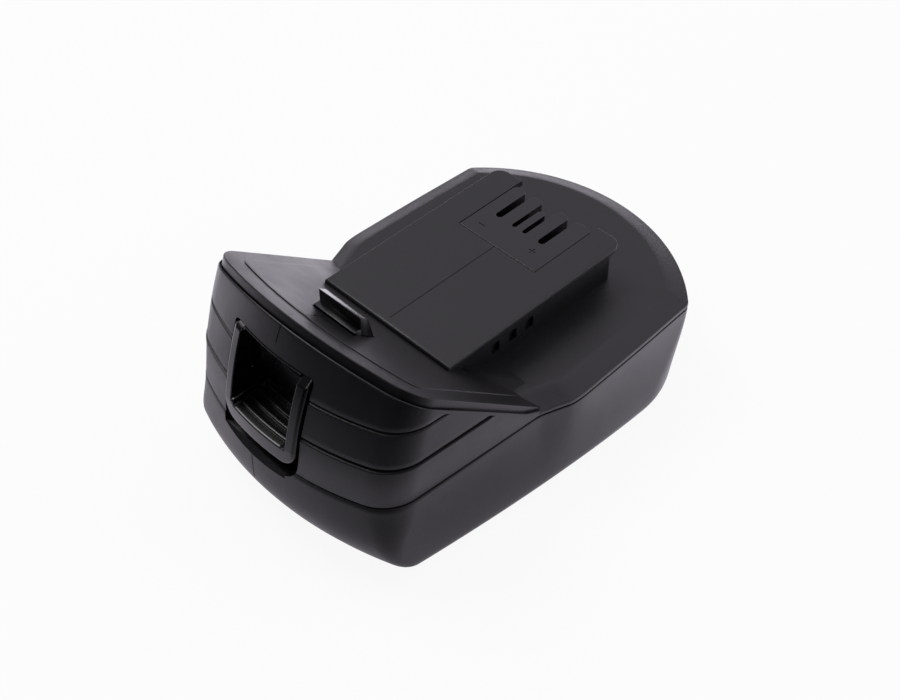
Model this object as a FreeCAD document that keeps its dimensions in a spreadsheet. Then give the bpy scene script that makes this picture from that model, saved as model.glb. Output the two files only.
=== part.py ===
import FreeCAD, Part
import Sketcher
import math
import os
import re
from FreeCAD import Vector

# Slide-on power tool battery: a lower shell with five cells lying across it, an upper housing with
# a sloping hood, a railed deck and a slotted terminal block, and one sprung release latch.
# X is across the pack, -Y is the button end, +Z is up, and Z = 0 is the surface it stands on.

doc = FreeCAD.newDocument("SlidePack")

# Driving dimensions, in millimetres
SHELL_SIZES = [
    ("wall", 2.2, "wall of both shells"),
    ("seam_z", 26.0, "height of the joint between the two shells"),
    ("rim_z", 27.3, "height of the outer rim of the upper housing"),
    ("floor_z", 29.8, "height of the valley floor beside the rails"),
    ("deck_z", 41.5, "height of the rail deck"),
    ("front_room", 15.27, "foremost point of the front face, ahead of the first cell"),
    ("back_room", 16.87, "rearmost point, behind the last cell"),
    ("face_radius", 100.0, "radius of the front face seen from the side"),
    ("face_plumb_z", 15.6, "height at which the front face stands plumb"),
    ("bow_radius", 76.0, "radius of the front face seen from above"),
    ("bow_radius_low", 100.0, "the same low on the shell"),
    ("back_radius", 52.0, "radius of the back wall seen from above"),
    ("front_corner", 11.5, "corner radius between front and side"),
    ("front_corner_low", 3.0, "the same corner low on the shell"),
    ("back_corner", 3.0, "corner radius between side and back at the rim"),
    ("back_corner_low", 24.5, "the same corner low on the shell"),
    ("least_corner", 0.8, "smallest corner radius of an inner outline"),
    ("nose_room", 1.5, "half width of the shells at the front face, past the ends of the cells"),
    ("side_flare", 0.065, "outward slope of the sides behind the front face"),
    ("rim_room", 8.2, "greatest half width of the rim, past the ends of the cells"),
    ("rim_room_back", 6.8, "the same near the back corner"),
    ("rim_wide_y", 2.5, "where the rim reaches its greatest width"),
    ("belly_room", 9.5, "greatest half width of the lower shell, past the ends of the cells"),
    ("belly_y", 26.0, "where the lower shell is widest"),
    ("belly_bow", 0.0031, "how fast the belly narrows towards the front"),
    ("belly_power", 1.75, "power of the distance with which it does so"),
    ("belly_bow_back", 0.0016, "how fast it narrows towards the back, per mm squared"),
    ("belly_z", 3.6, "height of the widest line of the lower shell"),
    ("back_lean", 3.2, "how far the back wall leans in at that height"),
    ("nose_round", 15.7, "radius under the front face"),
    ("side_round", 5.0, "radius under the sides"),
    ("back_round", 7.1, "radius under the back"),
    ("band_width", 5.7, "width of the sloping band inside the rim"),
]
HOOD_SIZES = [
    ("hood_tip_y", -8.33, "where the hood plane runs out at the sides"),
    ("hood_tip_z", 28.24, "height of the hood plane there"),
    ("hood_rise", 0.79, "rise of the hood plane per mm towards the front"),
    ("plate_margin", 4.2, "border between hood edge and raised plate"),
    ("plate_front", 16.37, "front edge of the raised plate, behind the front"),
    ("plate_rise", 0.4, "height of the raised plate on the hood"),
    ("groove_high_z", 47.56, "height of the upper groove round the hood"),
    ("groove_low_z", 37.38, "height of the lower groove round the hood"),
    ("groove_width", 0.8, "width of the grooves"),
    ("groove_depth", 0.6, "depth of the grooves"),
]
RAIL_SIZES = [
    ("rail_half", 21.54, "half width of the deck over the rail flanges"),
    ("rail_flange", 1.6, "thickness of the rail flanges"),
    ("rail_overhang", 1.6, "how far the flanges stand past the rail walls"),
    ("deck_front_y", -23.5, "front edge of the deck"),
    ("deck_back_y", 38.6, "back edge of the deck"),
    ("deck_corner", 3.5, "radius of the deck's back corners"),
    ("notch_wide", 2.7, "width of the small notches in the rail walls"),
    ("notch_pitch", 6.0, "distance between those notches"),
    ("notch_first_y", -6.0, "centre of the foremost notch"),
    ("notch_low_z", 33.2, "lower edge of the notches"),
    ("notch_tall", 3.2, "height of the notches"),
    ("notch_depth", 1.0, "depth of the notches"),
    ("notch_count", 3, "number of notches in each rail wall"),
]
TERMINAL_SIZES = [
    ("block_half", 13.0, "half width of the terminal block"),
    ("block_front_y", 14.95, "front edge of the terminal block"),
    ("block_back_y", 36.3, "back face of the terminal block"),
    ("block_drop", 0.1, "how far the block lies below the deck"),
    ("fit_gap", 0.15, "clearance round pieces that drop into a seat"),
    ("slot_front_y", 23.6, "closed end of the terminal slots"),
    ("slot_floor_z", 31.6, "bottom of the terminal slots"),
    ("power_slot", 2.0, "width of the outer, power slots"),
    ("signal_slot", 1.3, "width of the inner, signal slots"),
    ("minus_x", -8.0, "centre of the first power slot"),
    ("data_one_x", -2.5, "centre of the first signal slot"),
    ("data_two_x", 1.05, "centre of the second signal slot"),
    ("plus_x", 6.65, "centre of the second power slot"),
    ("leaf", 0.5, "thickness of the contact leaves"),
    ("clip_inset", 1.4, "closed end of a slot to its contact clip"),
    ("clip_long", 8.0, "length of a contact clip"),
    ("clip_foot", 1.0, "thickness of a clip's foot"),
]
LATCH_SIZES = [
    ("latch_x", -3.0, "centre of the release button"),
    ("latch_travel", 3.0, "stroke of the release button"),
    ("button_half", 13.4, "half width of the release button"),
    ("button_low_z", 26.0, "lower edge of the release button"),
    ("button_top_z", 52.8, "upper edge of the scoop"),
    ("button_back", 14.07, "back of the button block, behind the front"),
    ("button_rim", 3.1, "width of the button's U-shaped frame"),
    ("button_corner", 4.6, "radius of the button's lower corners"),
    ("button_gap", 0.35, "gap over the button, and under it at full travel"),
    ("button_side_gap", 0.9, "gap on each side of the button"),
    ("scoop_deep", 11.47, "deepest point of the finger scoop, behind the front"),
    ("shelf_lip", 0.5, "front edge of the scoop's shelf behind the face"),
    ("shelf_low", 5.2, "height of that edge over the button's lower edge"),
    ("shelf_high", 5.8, "height at which the shelf meets the scoop's back"),
    ("scoop_high", 15.5, "height at which the scoop's back leans out"),
    ("scoop_lean", 1.3, "how far it leans out at the next corner"),
    ("scoop_lean_high", 21.5, "height of that corner"),
    ("scoop_round", 2.5, "radius inside the scoop"),
    ("rib_count", 4, "number of grip ribs on the button"),
    ("rib_first", 0.7, "first grip rib behind the shelf's edge"),
    ("rib_pitch", 2.5, "distance between grip ribs"),
    ("rib_wide", 0.7, "width of a grip rib"),
    ("rib_tall", 0.6, "height of a grip rib"),
    ("skirt_inset", 1.0, "skirt behind the button, in from its sides"),
    ("skirt_lap", 0.8, "overlap of the skirt behind the shells at full travel"),
    ("hook_x", -0.5, "centre of the hook"),
    ("hook_half", 7.0, "half width of the hook"),
    ("hook_front", 26.37, "front face of the hook, behind the front"),
    ("hook_thick", 2.9, "thickness of the hook"),
    ("hook_tall", 6.0, "how far the hook stands above the hood plane"),
    ("hook_bevel", 0.7, "bevel on the hook's front edge"),
    ("hook_gap", 0.5, "gap round the hook"),
    ("arm_z", 38.0, "underside of the arm behind the button"),
    ("arm_thick", 5.0, "thickness of that arm"),
    ("arm_margin", 1.2, "arm beyond the springs"),
    ("spring_apart", 16.0, "distance between the two springs"),
    ("spring_back", 20.07, "place of the springs, behind the front"),
    ("spring_out", 6.6, "outer diameter of a spring"),
    ("spring_wire", 0.7, "wire diameter of a spring"),
    ("spring_turns", 6.0, "turns of a spring"),
    ("spring_gap", 0.05, "clearance at each end of a spring"),
    ("peg_dia", 3.2, "diameter of the pegs inside the springs"),
    ("peg_tall", 2.2, "height of those pegs"),
    ("bracket_z", 24.2, "underside of the latch bracket"),
    ("bracket_thick", 2.0, "thickness of the latch bracket"),
    ("bracket_front", 14.87, "front edge of the latch bracket, behind the front"),
    ("bracket_back", 27.07, "back edge of the latch bracket, behind the front"),
    ("bracket_margin", 1.5, "bracket beyond its screw heads"),
    ("bracket_screw_in", 13.5, "bracket screws, in from the ends of the cells"),
]
CELL_SIZES = [
    ("cell_count", 5, "number of cells"),
    ("cell_dia", 18.3, "diameter of a cell"),
    ("cell_long", 65.0, "length of a cell"),
    ("cell_bevel", 0.6, "bevel on a cell's edges"),
    ("cell_button", 6.4, "diameter of a cell's positive end"),
    ("cell_button_tall", 1.2, "height of a cell's positive end"),
    ("cell_pitch", 18.8, "distance between neighbouring cells"),
    ("cell_y", -0.8, "centre of the middle cell"),
    ("cell_z", 12.2, "height of the cell axes"),
    ("cell_gap", 0.1, "clearance of a cell in its carrier"),
    ("ring_thick", 0.4, "thickness of an insulator ring"),
    ("carrier_thick", 8.0, "thickness of a cell carrier"),
    ("carrier_in", 6.5, "centre of a cell carrier, in from the ends of the cells"),
    ("carrier_top_z", 22.4, "top of the cell carriers"),
    ("carrier_end", 0.9, "carrier beyond the last cell"),
    ("carrier_slit", 4.4, "width of the slits in the top of a carrier"),
    ("carrier_slit_deep", 3.2, "depth of those slits"),
    ("strip", 0.3, "thickness of the connecting strips"),
    ("strip_wide", 8.0, "width of the connecting strips"),
    ("tab_lap", 4.0, "length of a strip's tab under the circuit board"),
    ("pad_half", 8.0, "half width of the foam pad over the cells"),
    ("pad_gap", 0.05, "clearance of the foam pad over the cells"),
    ("card_thick", 0.3, "thickness of the insulating card"),
    ("sensor_x", 12.0, "place of the thermistor across the pack"),
    ("sensor_dia", 2.4, "diameter of the thermistor"),
]
BOARD_SIZES = [
    ("board_in", 5.5, "side edges of the circuit board, in from the ends of the cells"),
    ("board_front_y", -20.0, "front edge of the circuit board"),
    ("board_back_y", 42.0, "back edge of the circuit board"),
    ("board_z", 24.8, "underside of the circuit board"),
    ("board_thick", 1.6, "thickness of the circuit board"),
    ("board_screw_in", 5.0, "front board screws behind the board's front edge"),
    ("board_screw_back", 7.0, "back board screws ahead of its back edge"),
    ("controller_side", 9.0, "side of the controller chip"),
    ("controller_thick", 1.2, "thickness of the controller chip"),
    ("controller_y", -3.0, "centre of the controller chip"),
    ("transistor_count", 3, "number of power transistors"),
    ("transistor_side", 6.2, "side of a power transistor"),
    ("transistor_thick", 2.3, "thickness of a power transistor"),
    ("transistor_pitch", 9.0, "distance between power transistors"),
    ("transistor_y", -13.5, "centre of the power transistors"),
    ("capacitor_dia", 6.3, "diameter of the capacitor"),
    ("capacitor_tall", 7.0, "height of the capacitor"),
    ("capacitor_x", 9.5, "place of the capacitor across the pack"),
    ("capacitor_y", 6.0, "place of the capacitor along the pack"),
]
SCREW_SIZES = [
    ("case_screw", 2.9, "diameter of the case screws"),
    ("case_screw_long", 22.5, "length of the case screws"),
    ("case_head", 5.4, "head diameter of the case screws"),
    ("case_head_tall", 2.2, "head height of the case screws"),
    ("case_shelf_z", 7.0, "shelf in the lower shell under the screw heads"),
    ("boss_dia", 7.4, "diameter of the screw bosses"),
    ("boss_split_z", 15.0, "height at which lower and upper bosses meet"),
    ("case_front_x", 24.0, "front case screws, out from the centre"),
    ("case_front", 10.67, "front case screws, behind the front"),
    ("case_back_x", 16.0, "back case screws, out from the centre"),
    ("case_back", 12.87, "back case screws, ahead of the rearmost point"),
    ("small_screw", 2.2, "diameter of the small screws"),
    ("small_head", 4.0, "head diameter of the small screws"),
    ("small_head_tall", 1.4, "head height of the small screws"),
    ("small_screw_long", 7.2, "length of the small screws"),
    ("small_boss", 5.4, "diameter of the bosses over the small screws"),
    ("screw_gap", 0.1, "radial clearance of every screw"),
    ("tip_gap", 0.2, "room past the tip of every screw"),
    ("head_round", 0.45, "rounding of a screw head, as a share of its height"),
    ("drive_half", 0.3, "half length of a screw's cross, as a share of its head"),
    ("drive_wide", 0.7, "width of a screw's cross"),
    ("drive_deep", 0.8, "depth of a screw's cross"),
]
SIZES = SHELL_SIZES + HOOD_SIZES + RAIL_SIZES + TERMINAL_SIZES
SIZES += LATCH_SIZES + CELL_SIZES + BOARD_SIZES + SCREW_SIZES

# Places that follow from those: length and widths from the cells, the latch from the front
FOLLOWING = [
    ("front_reach", "cell_count * cell_pitch / 2 - cell_y + front_room",
     "origin to the foremost point of the front face"),
    ("back_reach", "cell_count * cell_pitch / 2 + cell_y + back_room",
     "origin to the rearmost point"),
    ("nose_half", "cell_long / 2 + nose_room", "half width of the shells at the front face"),
    ("rim_half", "cell_long / 2 + rim_room", "greatest half width of the rim"),
    ("rim_half_back", "cell_long / 2 + rim_room_back", "half width of the rim near the back"),
    ("belly_half", "cell_long / 2 + belly_room", "greatest half width of the lower shell"),
    ("carrier_x", "cell_long / 2 - carrier_in", "centre of a cell carrier"),
    ("board_half", "cell_long / 2 - board_in", "half width of the circuit board"),
    ("bracket_screw_x", "cell_long / 2 - bracket_screw_in", "place of the bracket screws"),
    ("plate_front_y", "plate_front - front_reach", "front edge of the raised plate"),
    ("button_back_y", "button_back - front_reach", "back of the button block"),
    ("scoop_deep_y", "scoop_deep - front_reach", "deepest point of the finger scoop"),
    ("hook_front_y", "hook_front - front_reach", "front face of the hook"),
    ("spring_y", "spring_back - front_reach", "place of the springs"),
    ("bracket_front_y", "bracket_front - front_reach", "front edge of the latch bracket"),
    ("bracket_back_y", "bracket_back - front_reach", "back edge of the latch bracket"),
    ("case_front_y", "case_front - front_reach", "front case screws, along the pack"),
    ("case_back_y", "back_reach - case_back", "back case screws, along the pack"),
]

# Longer than the whole pack, for tools that only have to reach past it
FAR = 400.0

sheet = doc.addObject("Spreadsheet::Sheet", "Sizes")
for row, (name, value, meaning) in enumerate(SIZES, start=1):
    sheet.set(f"A{row}", meaning)
    sheet.set(f"B{row}", str(value))
    sheet.setAlias(f"B{row}", name)
for row, (name, rule, meaning) in enumerate(FOLLOWING, start=len(SIZES) + 1):
    sheet.set(f"A{row}", meaning)
    sheet.set(f"B{row}", f"={rule}")
    sheet.setAlias(f"B{row}", name)
doc.recompute()


class Values:
    """Reads a driving dimension from the sheet by name."""

    def __getattr__(self, name):
        return float(sheet.get(name))


d = Values()
parts = []


def keep(obj, label):
    """Gives a finished sub-part its label and adds it to the list that is written out."""
    obj.Label = label
    parts.append(obj)
    return obj


def feature(label, shape):
    """A sub-part whose shape is worked out here."""
    obj = doc.addObject("Part::Feature", label)
    obj.Shape = shape
    obj.Placement = FreeCAD.Placement()
    return keep(obj, label)


def tied(text):
    """Turns each name in an expression into a reference to the sheet."""
    return re.sub(r"[a-z]\w*", lambda found: f"Sizes.{found[0]}", text)


def worked_out(text):
    """The number that an expression gives."""
    return float(getattr(sheet.evalExpression(tied(text)), "Value", sheet.evalExpression(tied(text))))


def bind(obj, **expressions):
    """Ties properties to the sheet; a double underscore in a name stands for a dot."""
    for name, text in expressions.items():
        obj.setExpression(name.replace("__", "."), tied(text))
    return obj


def bound_box(name, length, width, height, x, y, z):
    """A box given by its sizes and the place of its lowest corner."""
    obj = doc.addObject("Part::Box", name)
    bind(obj, Length=length, Width=width, Height=height)
    return bind(obj, Placement__Base__x=x, Placement__Base__y=y, Placement__Base__z=z)


def bound_rod(name, radius, height, x, y, z):
    """An upright cylinder given by its sizes and the centre of its foot."""
    obj = doc.addObject("Part::Cylinder", name)
    bind(obj, Radius=radius, Height=height)
    return bind(obj, Placement__Base__x=x, Placement__Base__y=y, Placement__Base__z=z)


def sketch_on(body, name, role):
    """An empty sketch on one of the body's own origin planes."""
    sketch = body.newObject("Sketcher::SketchObject", name)
    plane = next(each for each in body.Origin.OriginFeatures if each.Role == role)
    sketch.AttachmentSupport = (plane, [""])
    sketch.MapMode = "FlatFace"
    return sketch


def tie_point(sketch, geometry, point, across, up):
    """Ties one point of a sketch to two expressions, measured from its origin."""
    for kind, text in (("DistanceX", across), ("DistanceY", up)):
        value = worked_out(text)
        index = sketch.addConstraint(Sketcher.Constraint(kind, -1, 1, geometry, point, value))
        sketch.setExpression(f"Constraints[{index}]", tied(text))


def draw_polygon(sketch, corners):
    """Closes straight lines through corners given as pairs of expressions."""
    points = [Vector(worked_out(across), worked_out(up), 0) for across, up in corners]
    count = len(points)
    first = sketch.GeometryCount
    for index in range(count):
        sketch.addGeometry(Part.LineSegment(points[index], points[(index + 1) % count]))
    for index in range(count):
        here, after = first + index, first + (index + 1) % count
        sketch.addConstraint(Sketcher.Constraint("Coincident", here, 2, after, 1))
    for index, (across, up) in enumerate(corners):
        tie_point(sketch, first + index, 1, across, up)


def draw_circle(sketch, radius, across, up):
    centre = Vector(worked_out(across), worked_out(up), 0)
    index = sketch.addGeometry(Part.Circle(centre, Vector(0, 0, 1), worked_out(radius)))
    rule = sketch.addConstraint(Sketcher.Constraint("Radius", index, worked_out(radius)))
    sketch.setExpression(f"Constraints[{rule}]", tied(radius))
    tie_point(sketch, index, 3, across, up)


def rectangle(x0, x1, y0, y1):
    return [(x0, y0), (x1, y0), (x1, y1), (x0, y1)]


def padded(body, name, role, corners, offset, length):
    """A straight pad of a polygon, from an offset along the plane's normal."""
    sketch = sketch_on(body, f"{name}_outline", role)
    draw_polygon(sketch, corners)
    bind(sketch, AttachmentOffset__Base__z=offset)
    pad = body.newObject("PartDesign::Pad", name)
    pad.Profile = sketch
    return bind(pad, Length=length)


def drilled(body, name, circles):
    """Upright holes through everything; each circle is a radius and a place."""
    doc.recompute()
    before = body.Shape.Volume
    sketch = sketch_on(body, f"{name}_circles", "XY_Plane")
    for radius, across, up in circles:
        draw_circle(sketch, radius, across, up)
    pocket = body.newObject("PartDesign::Pocket", name)
    pocket.Profile = sketch
    pocket.Type = "ThroughAll"
    pocket.Reversed = True
    doc.recompute()
    if body.Shape.Volume >= before:
        raise RuntimeError(f"{name} cuts nothing")
    return pocket


def solid_box(x0, x1, y0, y1, z0, z1):
    return Part.makeBox(x1 - x0, y1 - y0, z1 - z0, Vector(x0, y0, z0))


def prism_x(points, x0, x1):
    """A prism across the pack from (y, z) points."""
    ring = [Vector(x0, y, z) for y, z in points]
    return Part.Face(Part.makePolygon(ring + ring[:1])).extrude(Vector(x1 - x0, 0, 0))


def post(radius, x, y, z0, z1):
    return Part.makeCylinder(radius, z1 - z0, Vector(x, y, z0))


def steps(start, end, count):
    """Evenly spaced values from start to end."""
    return [start + (end - start) * index / (count - 1) for index in range(count)]


# Outlines of the shells, seen from above
def face_y(z):
    """Foremost point of the front face at a height, before it rounds under."""
    rise = max(0.0, z - d.face_plumb_z)
    return -d.front_reach + d.face_radius - math.sqrt(d.face_radius ** 2 - rise ** 2)


def rounded_under(z, radius):
    """How far a wall draws in at a height where it rounds into the base."""
    drop = max(0.0, radius - z)
    return radius - math.sqrt(max(0.0, radius ** 2 - drop ** 2))


def nose_y(z):
    """Foremost point at a height, with the rounding under the face."""
    return face_y(z) + rounded_under(z, d.nose_round)


def tangent_corner(bow_centre_y, bow, corner, side_x, side_y, slope, sign):
    """Centre of a corner arc that touches a bow about the Y axis and a straight side."""
    length = math.hypot(1.0, slope)
    low, high = 0.0, bow - corner
    for step in range(60):
        cx = (low + high) / 2
        cy = bow_centre_y + sign * math.sqrt((bow - corner) ** 2 - cx ** 2)
        if cx - (side_x + slope * (cy - side_y)) + corner * length > 0:
            high = cx
        else:
            low = cx
    return cx, cy


def arc_point(cx, cy, radius, angle, z):
    return Vector(cx + radius * math.cos(angle), cy + radius * math.sin(angle), z)


def arc_edge(cx, cy, radius, start, end, z):
    points = [arc_point(cx, cy, radius, a, z) for a in (start, (start + end) / 2, end)]
    return Part.Arc(*points).toShape()


def closed_with_mirror(half):
    """A closed wire from the edges of its right half."""
    other = [edge.mirror(Vector(0, 0, 0), Vector(1, 0, 0)) for edge in half]
    return Part.Wire(Part.__sortEdges__(half + other))


def outline(z, front_y, back_y, side, back_corner, inset, bow_radius, front_corner):
    """Closed outline at a height: front bow, sides and back bow with rounded corners.

    side holds (y, half width) points from front to back; inset moves the whole outline inwards.
    """
    bow = bow_radius - inset
    back = d.back_radius - inset
    r_front = max(front_corner - inset, d.least_corner)
    r_back = max(back_corner - inset, d.least_corner)
    bow_centre = front_y + bow_radius
    back_centre = back_y - d.back_radius
    points = [(y, half - inset) for y, half in side]
    slope_front = (points[1][1] - points[0][1]) / (points[1][0] - points[0][0])
    slope_back = (points[-1][1] - points[-2][1]) / (points[-1][0] - points[-2][0])
    fx, fy = tangent_corner(bow_centre, bow, r_front, points[0][1], points[0][0], slope_front, -1)
    bx, by = tangent_corner(back_centre, back, r_back, points[-1][1], points[-1][0], slope_back, 1)
    front_side = -math.atan(slope_front)
    back_side = -math.atan(slope_back)
    front_angle = math.atan2(fy - bow_centre, fx)
    back_angle = math.atan2(by - back_centre, bx)
    start = arc_point(fx, fy, r_front, front_side, z)
    end = arc_point(bx, by, r_back, back_side, z)
    margin = d.back_corner
    middle = [Vector(x, y, z) for y, x in points if start.y + margin < y < end.y - margin]
    side_edge = Part.BSplineCurve()
    side_edge.interpolate([start] + middle + [end])
    return closed_with_mirror([
        arc_edge(0, bow_centre, bow, -math.pi / 2, front_angle, z),
        arc_edge(fx, fy, r_front, front_angle, front_side, z),
        side_edge.toShape(),
        arc_edge(bx, by, r_back, back_side, back_angle, z),
        arc_edge(0, back_centre, back, back_angle, math.pi / 2, z),
    ])


def nose_side(y, z):
    """Half width of the shells beside the hood."""
    return d.nose_half + d.side_flare * (y - face_y(z))


def side_places():
    """Places along the pack where the sides are measured."""
    front = steps(-d.front_reach + d.front_corner + d.side_round, d.hood_tip_y, 4)
    half_step = (d.rim_wide_y - d.hood_tip_y) / 2
    after = d.rim_wide_y + half_step
    return front + [d.hood_tip_y + half_step, d.rim_wide_y] + steps(after, d.deck_back_y, 4)


def rim_side():
    """Half widths along the rim, with the step where the hood ends."""
    points = []
    near = nose_side(d.hood_tip_y, d.seam_z)
    for y in side_places():
        if y <= d.hood_tip_y:
            half = nose_side(y, d.seam_z)
        elif y < d.rim_wide_y:
            half = (near + d.rim_half) / 2
        else:
            share = (y - d.rim_wide_y) / (d.deck_back_y - d.rim_wide_y)
            half = d.rim_half + share * (d.rim_half_back - d.rim_half)
        points.append((y, half))
    return points


def belly_side():
    """Half widths along the widest line of the lower shell."""
    points = []
    for y in side_places():
        if y < d.belly_y:
            narrower = d.belly_bow * (d.belly_y - y) ** d.belly_power
        else:
            narrower = d.belly_bow_back * (y - d.belly_y) ** 2
        points.append((y, d.belly_half - narrower))
    return points


def shell_section(z, inset):
    """Outline of the lower shell, between rim and belly and rounded under the sides."""
    tuck, tuck_back = rounded_under(z, d.side_round), rounded_under(z, d.back_round)
    share = min(1.0, (d.seam_z - z) / (d.seam_z - d.belly_z))
    share = max(0.0, share * share * (3 - 2 * share))
    side = [(y, top + share * (low - top) - tuck)
            for (y, top), (y, low) in zip(rim_side(), belly_side())]
    corner = d.back_corner + share * (d.back_corner_low - d.back_corner)
    bow = d.bow_radius + share * (d.bow_radius_low - d.bow_radius)
    front = d.front_corner + share * (d.front_corner_low - d.front_corner)
    back_y = d.back_reach - tuck_back - share * d.back_lean
    return outline(z, nose_y(z), back_y, side, corner, inset, bow, front)


def loft(wires):
    return Part.makeLoft(wires, True, True)


def shell_heights():
    low = [share * d.side_round for share in (0.0, 0.1, 0.3, 0.6)]
    return low + steps(d.side_round, d.nose_round, 4) + steps(d.nose_round, d.seam_z, 4)[1:]


def shell_inside(inset):
    """The space inside the lower shell, drawn in by a distance, with a flat floor."""
    wires = []
    for z in shell_heights():
        if z <= d.side_round:
            wire = shell_section(z, inset)
            wire.translate(Vector(0, 0, d.wall))
            wires.append(wire)
        elif z > d.side_round + d.wall:
            wires.append(shell_section(z, inset))
    top = shell_section(d.seam_z, inset)
    top.translate(Vector(0, 0, d.wall))
    return loft(wires + [top])


def rim_outline(z, inset):
    return outline(z, face_y(z), d.back_reach, rim_side(), d.back_corner, inset, d.bow_radius,
                   d.front_corner)


def hood_wire(z, inset):
    """Outline of the hood body at a height, run on past the hood tips."""
    y0 = face_y(z)
    bow = d.bow_radius - inset
    corner = d.front_corner - inset
    centre = y0 + d.bow_radius
    cx, cy = tangent_corner(centre, bow, corner, nose_side(y0, z) - inset, y0, d.side_flare, -1)
    side = -math.atan(d.side_flare)
    angle = math.atan2(cy - centre, cx)
    start = arc_point(cx, cy, corner, side, z)
    back_y = -d.hood_tip_y
    end = Vector(nose_side(back_y, z) - inset, back_y, z)
    return closed_with_mirror([
        arc_edge(0, centre, bow, -math.pi / 2, angle, z),
        arc_edge(cx, cy, corner, angle, side, z),
        Part.LineSegment(start, end).toShape(),
        Part.LineSegment(end, Vector(0, back_y, z)).toShape(),
    ])


def hood_plane_z(y):
    return d.hood_tip_z + d.hood_rise * (d.hood_tip_y - y)


def above_hood(drop, end_y):
    """Everything above the hood plane, lowered by a distance square to it."""
    fall = drop * math.hypot(1, d.hood_rise)
    points = [(-FAR, hood_plane_z(-FAR) - fall), (end_y, hood_plane_z(end_y) - fall),
              (end_y, FAR), (-FAR, 2 * FAR)]
    return prism_x(points, -FAR, FAR)


def hood_solid(inset, drop):
    """The hood body under its sloping plane, drawn in and lowered."""
    heights = steps(d.seam_z, hood_plane_z(-d.front_reach), 8)
    return loft([hood_wire(z, inset) for z in heights]).cut(above_hood(drop, FAR))


# Places of the fasteners and springs
def case_screw_places():
    front = [(side * d.case_front_x, d.case_front_y) for side in (-1, 1)]
    back = [(side * d.case_back_x, d.case_back_y) for side in (-1, 1)]
    return front + back


def board_screw_places():
    """The board screws bite into the rail walls."""
    x = d.rail_half - d.rail_overhang - d.wall / 2
    rows = (d.board_front_y + d.board_screw_in, d.board_back_y - d.board_screw_back)
    return [(side * x, y) for side in (-1, 1) for y in rows]


def bracket_screw_places():
    return [(side * d.bracket_screw_x, d.spring_y) for side in (-1, 1)]


def spring_places():
    return [d.latch_x + side * d.spring_apart / 2 for side in (-1, 1)]


def cell_places():
    """Centre of each cell along the pack."""
    count = int(d.cell_count)
    return [d.cell_y + (index - (count - 1) / 2) * d.cell_pitch for index in range(count)]


def button_opening():
    """The hole in the front of both shells for the button."""
    half = d.button_half + d.button_side_gap
    low = d.button_low_z - d.latch_travel - d.button_gap
    top = d.button_top_z + d.button_gap
    hole = solid_box(d.latch_x - half, d.latch_x + half, -FAR, d.button_back_y + d.wall, low, top)
    corners = [e for e in hole.Edges
               if abs(e.tangentAt(0).y) > 0.9 and e.BoundBox.ZMax < (low + top) / 2]
    return hole.makeFillet(d.button_corner + d.button_side_gap, corners)


def groove(z):
    """A ring that cuts a shallow groove round the hood."""
    half = d.groove_width / 2
    out = d.front_corner / 4
    outer = loft([hood_wire(z - half, -out), hood_wire(z + half, -out)])
    inner = loft([hood_wire(z - 2 * half, d.groove_depth), hood_wire(z + 2 * half, d.groove_depth)])
    return outer.cut(inner).common(solid_box(-FAR, FAR, -FAR, d.hood_tip_y, 0, FAR))


def lower_shell():
    outer = loft([shell_section(z, 0) for z in shell_heights()])
    shell = outer.cut(shell_inside(d.wall))
    for x, y in case_screw_places():
        shell = shell.fuse(post(d.boss_dia / 2, x, y, 0, d.boss_split_z).common(outer))
    for x, y in case_screw_places():
        shell = shell.cut(post(d.case_head / 2 + d.screw_gap, x, y, -FAR, d.case_shelf_z))
        shell = shell.cut(post(d.case_screw / 2 + d.screw_gap, x, y, -FAR, d.boss_split_z + d.wall))
    return shell.cut(button_opening())


def rail_notches():
    """Small square notches in the outer faces of the rail walls."""
    cuts = []
    wall_x = d.rail_half - d.rail_overhang
    for side in (-1, 1):
        for step in range(int(d.notch_count)):
            y = d.notch_first_y + step * d.notch_pitch - d.notch_wide / 2
            x0, x1 = sorted((side * (wall_x - d.notch_depth), side * d.rail_half))
            cuts.append(solid_box(x0, x1, y, y + d.notch_wide, d.notch_low_z,
                                  d.notch_low_z + d.notch_tall))
    return cuts


def deck_solid(half, z0, z1):
    """Deck outline with rounded back corners, from a half width and two heights."""
    shape = solid_box(-half, half, d.deck_front_y, d.deck_back_y, z0, z1)
    upright = [e for e in shape.Edges
               if abs(e.tangentAt(0).z) > 0.9 and e.BoundBox.YMin > d.deck_front_y + d.deck_corner]
    return shape.makeFillet(d.deck_corner, upright)


def hood_plate():
    """The shallow raised plate inside the hood's border."""
    plate = hood_solid(d.plate_margin, -d.plate_rise)
    return plate.common(solid_box(-FAR, FAR, d.plate_front_y, d.hood_tip_y, d.floor_z, FAR))


def terminal_window():
    """The well for the terminal block, open towards the back edge of the deck."""
    half = d.block_half + d.fit_gap
    front = d.block_front_y - d.fit_gap
    back = d.block_back_y + d.fit_gap
    well = solid_box(-half, half, front, back, d.seam_z - d.wall, FAR)
    return well.fuse(solid_box(-half, half, back - d.wall, d.deck_back_y + d.wall, d.floor_z, FAR))


def upper_bosses():
    """Every boss inside the upper housing: radius, place and lower end."""
    bosses = [(d.boss_dia / 2, x, y, d.boss_split_z) for x, y in case_screw_places()]
    small = d.small_boss / 2
    bosses += [(small, x, y, d.bracket_z + d.bracket_thick) for x, y in bracket_screw_places()]
    bosses += [(small, x, y, d.board_z + d.board_thick) for x, y in board_screw_places()]
    return bosses


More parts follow.
